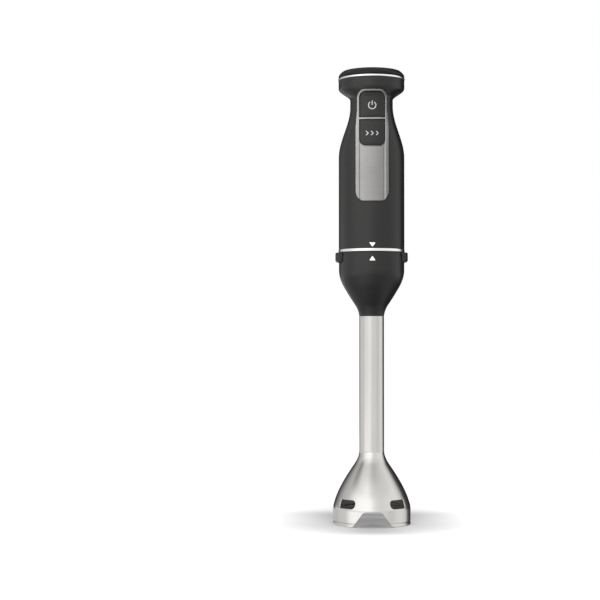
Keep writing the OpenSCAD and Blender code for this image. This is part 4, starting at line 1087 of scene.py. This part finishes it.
def panelKeep(p):
    # Inside the outline and outside both button openings
    x, z = p[:, 0], p[:, 2]
    return least(outlineDistance(x, z, panelLine), *[-outlineDistance(x, z, hole) for hole in holes])


p = panel
across = np.linspace(-p.lowHalf - margin, p.lowHalf + margin, 86)
up = np.linspace(p.low - margin, p.top + margin, 271)
makePiece("controlPanel", cutWall(panelPlace, panelKeep, across, up, p.thick, 0.22),
          "panel_silver", "handle", "control_panel")


def buttonShape(which):
    # Rise over the skin falls towards the outline: proud - pillow (1 - smooth(d/pillowWidth)) at d from it
    b = buttons
    line = buttonOutline(which)

    def place(x, z, depth):
        d = outlineDistance(x, z, line)
        return frontPlace(x, z, b.proud - b.pillow*(1 - smooth(d/b.pillowWidth)) - depth)

    def keep(p):
        return outlineDistance(p[:, 0], p[:, 2], line)

    across = np.linspace(-b.half - margin, b.half + margin, 61)
    up = np.linspace(b[which + "Low"] - margin, b[which + "Top"] + margin, 61)
    z = b[which + "Mid"]
    back = float(frontPlace(np.zeros(1), np.full(1, z), -b.back + 0.5)[0, 1])
    stem = roundedLine(box(0, b.stem, back, b.stemEnd, (0, 0, 0.4, 0)))
    return cutWall(place, keep, across, up, b.back - 0.2, 0.28), revolve(stem, 48, "y", (0, 0, z))


for which in ("power", "turbo"):
    wall, stem = buttonShape(which)
    makePiece(which + "Button", wall, "button_black", which, which + "_button")
    makePiece(which + "Stem", stem, "button_black", which, which + "_button")
print("panel and buttons")

marks = Settings(
    powerLevel=364.6, powerRadius=3.2, powerStroke=0.8, powerGap=38, boostLevel=340.0, boostHalf=1.6, boostStroke=0.7,
    boostPitch=4.3, arrowWidth=5.3, lowArrow=(229.95, 233.85), highArrow=(245.35, 241.65), thick=0.12, cell=0.14)


def inlay(name, place, line, finish, body, stroke=None):
    # A print on a surface: where `line` encloses the point, or passes within half a stroke of it
    def keep(p):
        x, z = p[:, 0], p[:, 2]
        return outlineDistance(x, z, line) if stroke is None else stroke/2 - strokeDistance(x, z, line)

    def sunk(x, z, depth):
        return place(x, z, marks.thick/2 - depth)

    reach = 0.4 + (stroke or 0)
    ends = [line.min(0) - reach, line.max(0) + reach]
    across, up = [np.linspace(a, b, math.ceil((b - a)/marks.cell) + 1) for a, b in zip(*ends)]
    makePiece(name, cutWall(sunk, keep, across, up, marks.thick, 0.03, steps=2), None, body, finish=finish)


def onButton(x, z, rise):
    # A button's face over (x, z), where it stands proud of the skin
    return frontPlace(x, z, buttons.proud + rise)


def onCollar(x, z, rise):
    # The funnel's own surface over (x, z): y = -sqrt(r^2 - x^2)
    r = np.interp(z, funnelLine.z, funnelLine.r) + rise
    return np.stack([x, -np.sqrt(r**2 - x**2), z], -1)


m = marks
a = np.radians(np.linspace(90 + m.powerGap, 450 - m.powerGap, 40))
arc = np.stack([m.powerRadius*np.cos(a), m.powerLevel + m.powerRadius*np.sin(a)], -1)
bar = np.array([(0, m.powerLevel + 0.4), (0, m.powerLevel + m.powerRadius + 0.5)])
inlay("powerSignRing", onButton, arc, "mark_grey", "power", m.powerStroke)
inlay("powerSignBar", onButton, bar, "mark_grey", "power", m.powerStroke)
for k, name in enumerate(("boostSignLeft", "boostSignMiddle", "boostSignRight")):
    x, z, w = (k - 1)*m.boostPitch, m.boostLevel, m.boostHalf
    chevron = np.array([(x - w/2, z - w), (x + w/2, z), (x - w/2, z + w)])
    inlay(name, onButton, chevron, "mark_grey", "turbo", m.boostStroke)
for name, place, body, (flat, tip) in (("arrowOnArm", onCollar, "arm", m.lowArrow),
                                       ("arrowOnHandle", frontPlace, "handle", m.highArrow)):
    line = roundedLine([(-m.arrowWidth/2, flat, 0.2), (m.arrowWidth/2, flat, 0.2), (0, tip, 0.2)])
    inlay(name, place, line, "mark_white", body)
print("printed marks")

# Trim rings, spigot, head cap and dial
trim = Settings(
    lowRadius=29.1, lowBore=20.85, lowLevel=(238.0, 240.65), headRadius=29.35, headBore=28.25,
    headLevel=(389.55, 391.4))
t = trim
turned("lowerTrimRing", box(t.lowBore, t.lowRadius, *t.lowLevel, (0.2, 0.5, 0.5, 0.2)), 256,
       "trim_chrome", "handle", "lower_trim_ring", steps=6)
turned("headTrimRing", box(t.headBore, t.headRadius, *t.headLevel, (0.2, 0.7, 0.7, 0.2)), 256,
       "trim_chrome", "handle", "head_trim_ring", steps=8)

spigot = Settings(
    radius=20.8, bore=17.6, low=221, web=(237.5, 240.5), webHole=9, flange=26.38, flangeLow=241.35, flangeStep=2.5,
    flangeWall=2, top=249.8, groove=19.6, grooveLevel=(232, 235))
s = spigot
(grooveLow, grooveTop), (webLow, webTop) = s.grooveLevel, s.web
step, inner = s.flangeLow + s.flangeStep, s.flange - s.flangeWall
turned("couplingSpigot", [
    (s.bore, s.low, 0.4), (s.radius, s.low, 0.9), (s.radius, grooveLow, 0.15), (s.groove, grooveLow, 0.2),
    (s.groove, grooveTop, 0.2), (s.radius, grooveTop, 0.15), (s.radius, s.flangeLow, 0), (s.flange, s.flangeLow, 0.3),
    (s.flange, s.top, 0.4), (inner, s.top, 0.3), (inner, step, 0.4), (s.bore, step, 0.3), (s.bore, webTop, 0.5),
    (s.webHole, webTop, 0.3), (s.webHole, webLow, 0.3), (s.bore, webLow, 0.8)],
    192, "inner_black", "handle", "coupling_spigot", steps=5)

head = Settings(capRadius=28.2, capLevel=(389.45, 391.45), hub=9, hubLow=386.6, bore=2.95)
c = head
low, top = c.capLevel
turned("headCap", [
    (c.bore, c.hubLow, 0.1), (c.hub, c.hubLow, 0.3), (c.hub, low, 0.4), (c.capRadius, low, 0.2),
    (c.capRadius, top, 0.4), (c.bore, top, 0.1)], 160, "inner_black", "handle", "head_cap", steps=5)

dial = Settings(
    low=391.9, high=398.0, radius=29, topRadius=25, dish=0.8, bore=2.95, boreTop=395.6, pocket=26.8, pocketBore=6.5,
    pocketTop=394.2)


def dialProfile():
    # Foot, a bowed side up to a rounded shoulder, and a shallow dish, as (r, z)
    d = dial
    z, r, top, edge = d.low, d.radius, d.high, d.topRadius
    start, turn, rim = (r - 0.1, z + 1.8), (edge + 0.7, top - 0.75), (edge - 2.4, top)
    side = bezier([start, (r - 0.9, z + 3.5), turn], 16)
    shoulder = bezier([turn, (edge - 0.2, top - 0.1), rim], 8)[1:]
    dish = bezier([rim, (edge - 6, top - d.dish), (0, top - d.dish)], 24)[1:]
    foot = roundedLine([(d.pocket, z, 0.2), (r - 0.25, z, 0.3), (r, z + 0.5, 0.3), (*start, 0)], 4, False)
    inside = [(0, d.boreTop), (d.bore, d.boreTop), (d.bore, z), (d.pocketBore, z), (d.pocketBore, d.pocketTop),
              (d.pocket, d.pocketTop)]
    return np.concatenate([foot[:-1], side, shoulder, dish, inside])


makePiece("speedDial", revolve(dialProfile(), 224), "dial_black", "dial", "speed_dial")
print("trim, spigot, head and dial")


# The CAD nodes that show keep their shapes and take their slots' finishes
slotOf = {s["node"]: s["material_slot"] for s in frame["record"]["subparts"]}
for name, node in frame["nodes"].items():
    node.data.materials.clear()
    node.data.materials.append(finishes[slotOf[name]])
print("finishes laid on the inner nodes")


camera = Settings(place=(-0.0346, -1.3226, 0.1733), tilt=90.993, turn=1.235, lens=90, sensor=36, reach=50)
cam = addToScene("camera", bpy.data.cameras.new("camera"))
cam.location = camera.place
cam.rotation_euler = (math.radians(camera.tilt), 0, math.radians(camera.turn))
cam.data.lens, cam.data.sensor_width, cam.data.clip_end = camera.lens, camera.sensor, camera.reach
scene.camera = cam

# Lamps are (name, place, size, power); ranges are metres from the object's foot
studio = Settings(
    lamps=[("keyLamp", (-1.5, -1.1, 1.2), (0.9, 1.3), 80.0), ("fillLamp", (1.3, -1.5, 1.0), (1.2, 1.2), 1.0),
           ("topLamp", (0.0, -0.2, 2.0), (1.6, 1.6), 34.0)],
    # The floor's glow, under, shade and front settings paint shadow and light on it near the object
    aim=(0, 0, 0.2), softLight=0.17, floorSize=0.8, floorTone=0.5, glow=(0.22, 0.69), glowRange=(0.034, 0.09),
    behind=0.6, underGlow=0.285, underRange=(0.029, 0.034), shade=0.2, shadeEnd=(0.058, 0.1), shadePower=3.0,
    frontGlow=(0.165, 0.69), frontRange=(0.05, 0.083), frontPower=8.0, frontBend=1.6)


def addLamp(name, place, size, power):
    # An area lamp whose face turns towards the middle of the object
    lamp = bpy.data.lights.new(name, "AREA")
    lamp.shape, lamp.size, lamp.size_y, lamp.energy = "RECTANGLE", *size, power
    holder = addToScene(name, lamp)
    holder.location = place
    x, y, z = aim = np.array(studio.aim) - np.array(place)
    holder.rotation_euler = (math.pi - math.acos(z/np.linalg.norm(aim)), 0, math.atan2(y, x) - math.pi/2)
    holder.visible_glossy = holder.visible_camera = False
    return holder


lamps = [addLamp(*lamp) for lamp in studio.lamps]
# The key lights the object alone, so that the floor's shade stays even all round
lit = bpy.data.collections.new("lit")
for thing in scene.objects:
    if thing.type == "MESH":
        lit.objects.link(thing)
lamps[0].light_linking.receiver_collection = lit

# The room: white behind the object, and softboxes and dark flags all round it, from the floor up.
# Each pair is a compass direction from the camera's side, in degrees towards +X, and how bright the room is there;
# each of `heights` is a ring and the two angles above the horizon between which it takes over from the ring below.
room = Settings(
    full=1.5,
    under=[(-180, 0.36), (-120, 0.4), (-60, 0.42), (0, 0.4), (60, 0.38), (110, 0.36), (140, 0.16), (180, 0.36)],
    table=[(-180, 0.2), (-150, 0.35), (-120, 0.55), (-90, 0.5), (-62, 0.8), (-38, 1.0), (-14, 0.86), (10, 0.6),
           (40, 0.62), (72, 0.76), (96, 0.64), (114, 0.3), (130, 0.08), (165, 0.08), (180, 0.2)],
    low=[(-180, 0.42), (-168, 0.5), (-150, 0.68), (-130, 0.66), (-112, 0.8), (-85, 0.86), (-69, 1.36), (-56, 1.5),
         (-44, 1.44), (-28, 1.4), (-18, 1.32), (-8, 1.1), (0, 0.96), (17, 0.9), (36, 0.92), (50, 0.84), (60, 0.82),
         (80, 0.95), (96, 0.99), (112, 0.88), (122, 0.68), (131, 0.15), (150, 0.05), (166, 0.1), (180, 0.42)],
    level=[(-180, 0.16), (-168, 0.05), (-151, 0.05), (-143, 0.3), (-135, 0.72), (-112, 0.83), (-83, 0.79),
           (-60, 0.96), (-40, 0.99), (-28, 1.08), (-20, 1.17), (-12, 1.05), (0, 0.95), (17, 0.885), (36, 0.895),
           (50, 0.78), (60, 0.76), (80, 0.93), (96, 1.0), (112, 0.88), (119, 0.5), (126, 0.08), (150, 0.02),
           (168, 0.03), (180, 0.16)],
    raised=[(-180, 0.2), (-165, 0.05), (-145, 0.15), (-130, 0.42), (-112, 0.64), (-95, 0.72), (-82, 0.87),
            (-70, 1.15), (-50, 1.42), (-30, 1.5), (-14, 1.52), (-4, 1.45), (4, 1.18), (14, 1.04), (30, 0.96),
            (50, 1.02), (70, 1.04), (90, 1.08), (108, 0.85), (118, 0.45), (127, 0.08), (150, 0.02), (168, 0.05),
            (180, 0.2)],
    high=[(-180, 0.25), (-164, 0.25), (-146, 0.55), (-125, 0.62), (-106, 0.46), (-92, 0.34), (-80, 0.55), (-62, 0.98),
          (-40, 1.18), (-25, 1.3), (-16, 1.28), (-6, 1.06), (10, 0.92), (30, 0.87), (70, 0.9), (90, 0.98),
          (110, 0.85), (124, 0.35), (138, 0.1), (180, 0.3)],
    above=[(-180, 0.5), (-110, 0.6), (-60, 0.88), (-30, 0.95), (-8, 0.8), (14, 0.66), (40, 0.72), (80, 0.86),
           (110, 0.7), (180, 0.5)],
    heights=[("table", -65, -45), ("low", -22, -11), ("level", -6, -3), ("raised", 0.8, 5.5), ("high", 31, 45),
             ("above", 48, 62)])
world = bpy.data.worlds.new("room")
scene.world = world
world.use_nodes = True
n = Nodes(world.node_tree)
n.tree.nodes.clear()


def ringOfLight(compass, pairs):
    # A colour ramp over the compass: position (angle + 180)/360, grey value/full
    return n.ramp(compass, [((angle + 180)/360, (value/room.full,)*3) for angle, value in pairs])


way = n.add("SeparateXYZ", Vector=n.add("TexCoord")["Generated"])
angle = n.calc("ARCTAN2", way["X"], n.calc("MULTIPLY", way["Y"], -1.0))
compass = n.remap(angle, -math.pi, math.pi)
dome = ringOfLight(compass, room.under)
for name, *turnover in room.heights:
    low, high = np.sin(np.radians(turnover))
    dome = n.mixColour(dome, ringOfLight(compass, room[name]), n.remap(way["Z"], low, high, kind="SMOOTHSTEP"))
# Mirrored rays see the room, camera rays and rays through glass a white backdrop, and all others a dimmer room
ray = n.add("LightPath")
gloss = n.add("Background", Color=dome, Strength=room.full)[0]
soft = n.add("Background", Color=dome, Strength=room.full*studio.softLight)[0]
white = n.add("Background", Color=(1, 1, 1, 1), Strength=1.0)[0]
seen = n.add("MixShader", n0=ray["Is Glossy Ray"], n1=soft, n2=gloss)[0]
clear = n.calc("MAXIMUM", ray["Is Camera Ray"], ray["Is Transmission Ray"])
n.make("OutputWorld", Surface=n.add("MixShader", n0=clear, n1=seen, n2=white)[0])
world.cycles.sampling_method = "NONE"

# Floor: a round table that takes the object's shadow; a glow for the camera alone brings up its far part and
# paints light into the shade under the bell, seen in the arches. The glow is weaker near the object: a painted shadow
# round its foot
a = circle(96)
mesh = bpy.data.meshes.new("floor")
mesh.from_pydata((np.stack([np.cos(a), np.sin(a), 0*a], -1)*studio.floorSize).tolist(), [], [list(range(96))])
floor = addToScene("floor", mesh)
floor.visible_glossy = False
surface = bpy.data.materials.new("floor")
surface.use_nodes = True
n = Nodes(surface.node_tree)
n.tree.nodes.clear()
place = n.add("TexCoord")["Object"]
spot = n.add("SeparateXYZ", Vector=place)
length = n.add("VectorMath", {"operation": "LENGTH"}, Vector=place)["Value"]
front = n.calc("MULTIPLY", spot["Y"], -1.0)


def towards(value, power):
    # How much a spot lies that way from the object: the cosine of its bearing, never below 0, to a power
    return n.calc("POWER", n.calc("MAXIMUM", n.calc("DIVIDE", value, length), 0.0), power)


# Right behind the object, as seen through its arches, the floor's colour is darker: a painted shadow
s = studio
paintedShadowBehind = n.calc("MULTIPLY", towards(spot["Y"], s.shadePower), n.remap(spot["Y"], *s.shadeEnd, 1.0, 0.0, "SMOOTHSTEP"))
tone = n.calc("MULTIPLY", n.remap(paintedShadowBehind, 0.0, 1.0, 1.0, s.shade), s.floorTone)
base = n.add("BsdfDiffuse", Color=n.add("CombineColor", Red=tone, Green=tone, Blue=tone)[0])[0]
depth = n.calc("MAXIMUM", n.calc("MULTIPLY", spot["Y"], s.behind), front)
flat = n.add("CombineXYZ", X=spot["X"], Y=depth)[0]
away = n.add("VectorMath", {"operation": "LENGTH"}, n0=flat)["Value"]
# In front of the object the glow is weaker still: a painted shadow, deeper than the cast one
rise = n.calc("POWER", n.remap(length, *s.frontRange), s.frontBend)
far = n.mix(n.remap(away, *s.glowRange, *s.glow), n.remap(rise, 0.0, 1.0, *s.frontGlow), towards(front, s.frontPower))
under = n.remap(away, *s.underRange, s.underGlow - s.glow[0], 0.0, "SMOOTHSTEP")
amount = n.calc("MULTIPLY", n.calc("ADD", far, under), n.add("LightPath")["Is Camera Ray"])
glow = n.add("Emission", Color=(1, 1, 1, 1), Strength=amount)[0]
n.make("OutputMaterial", Surface=n.add("AddShader", n0=base, n1=glow)[0])
mesh.materials.append(surface)

scene.view_settings.view_transform = "Standard"
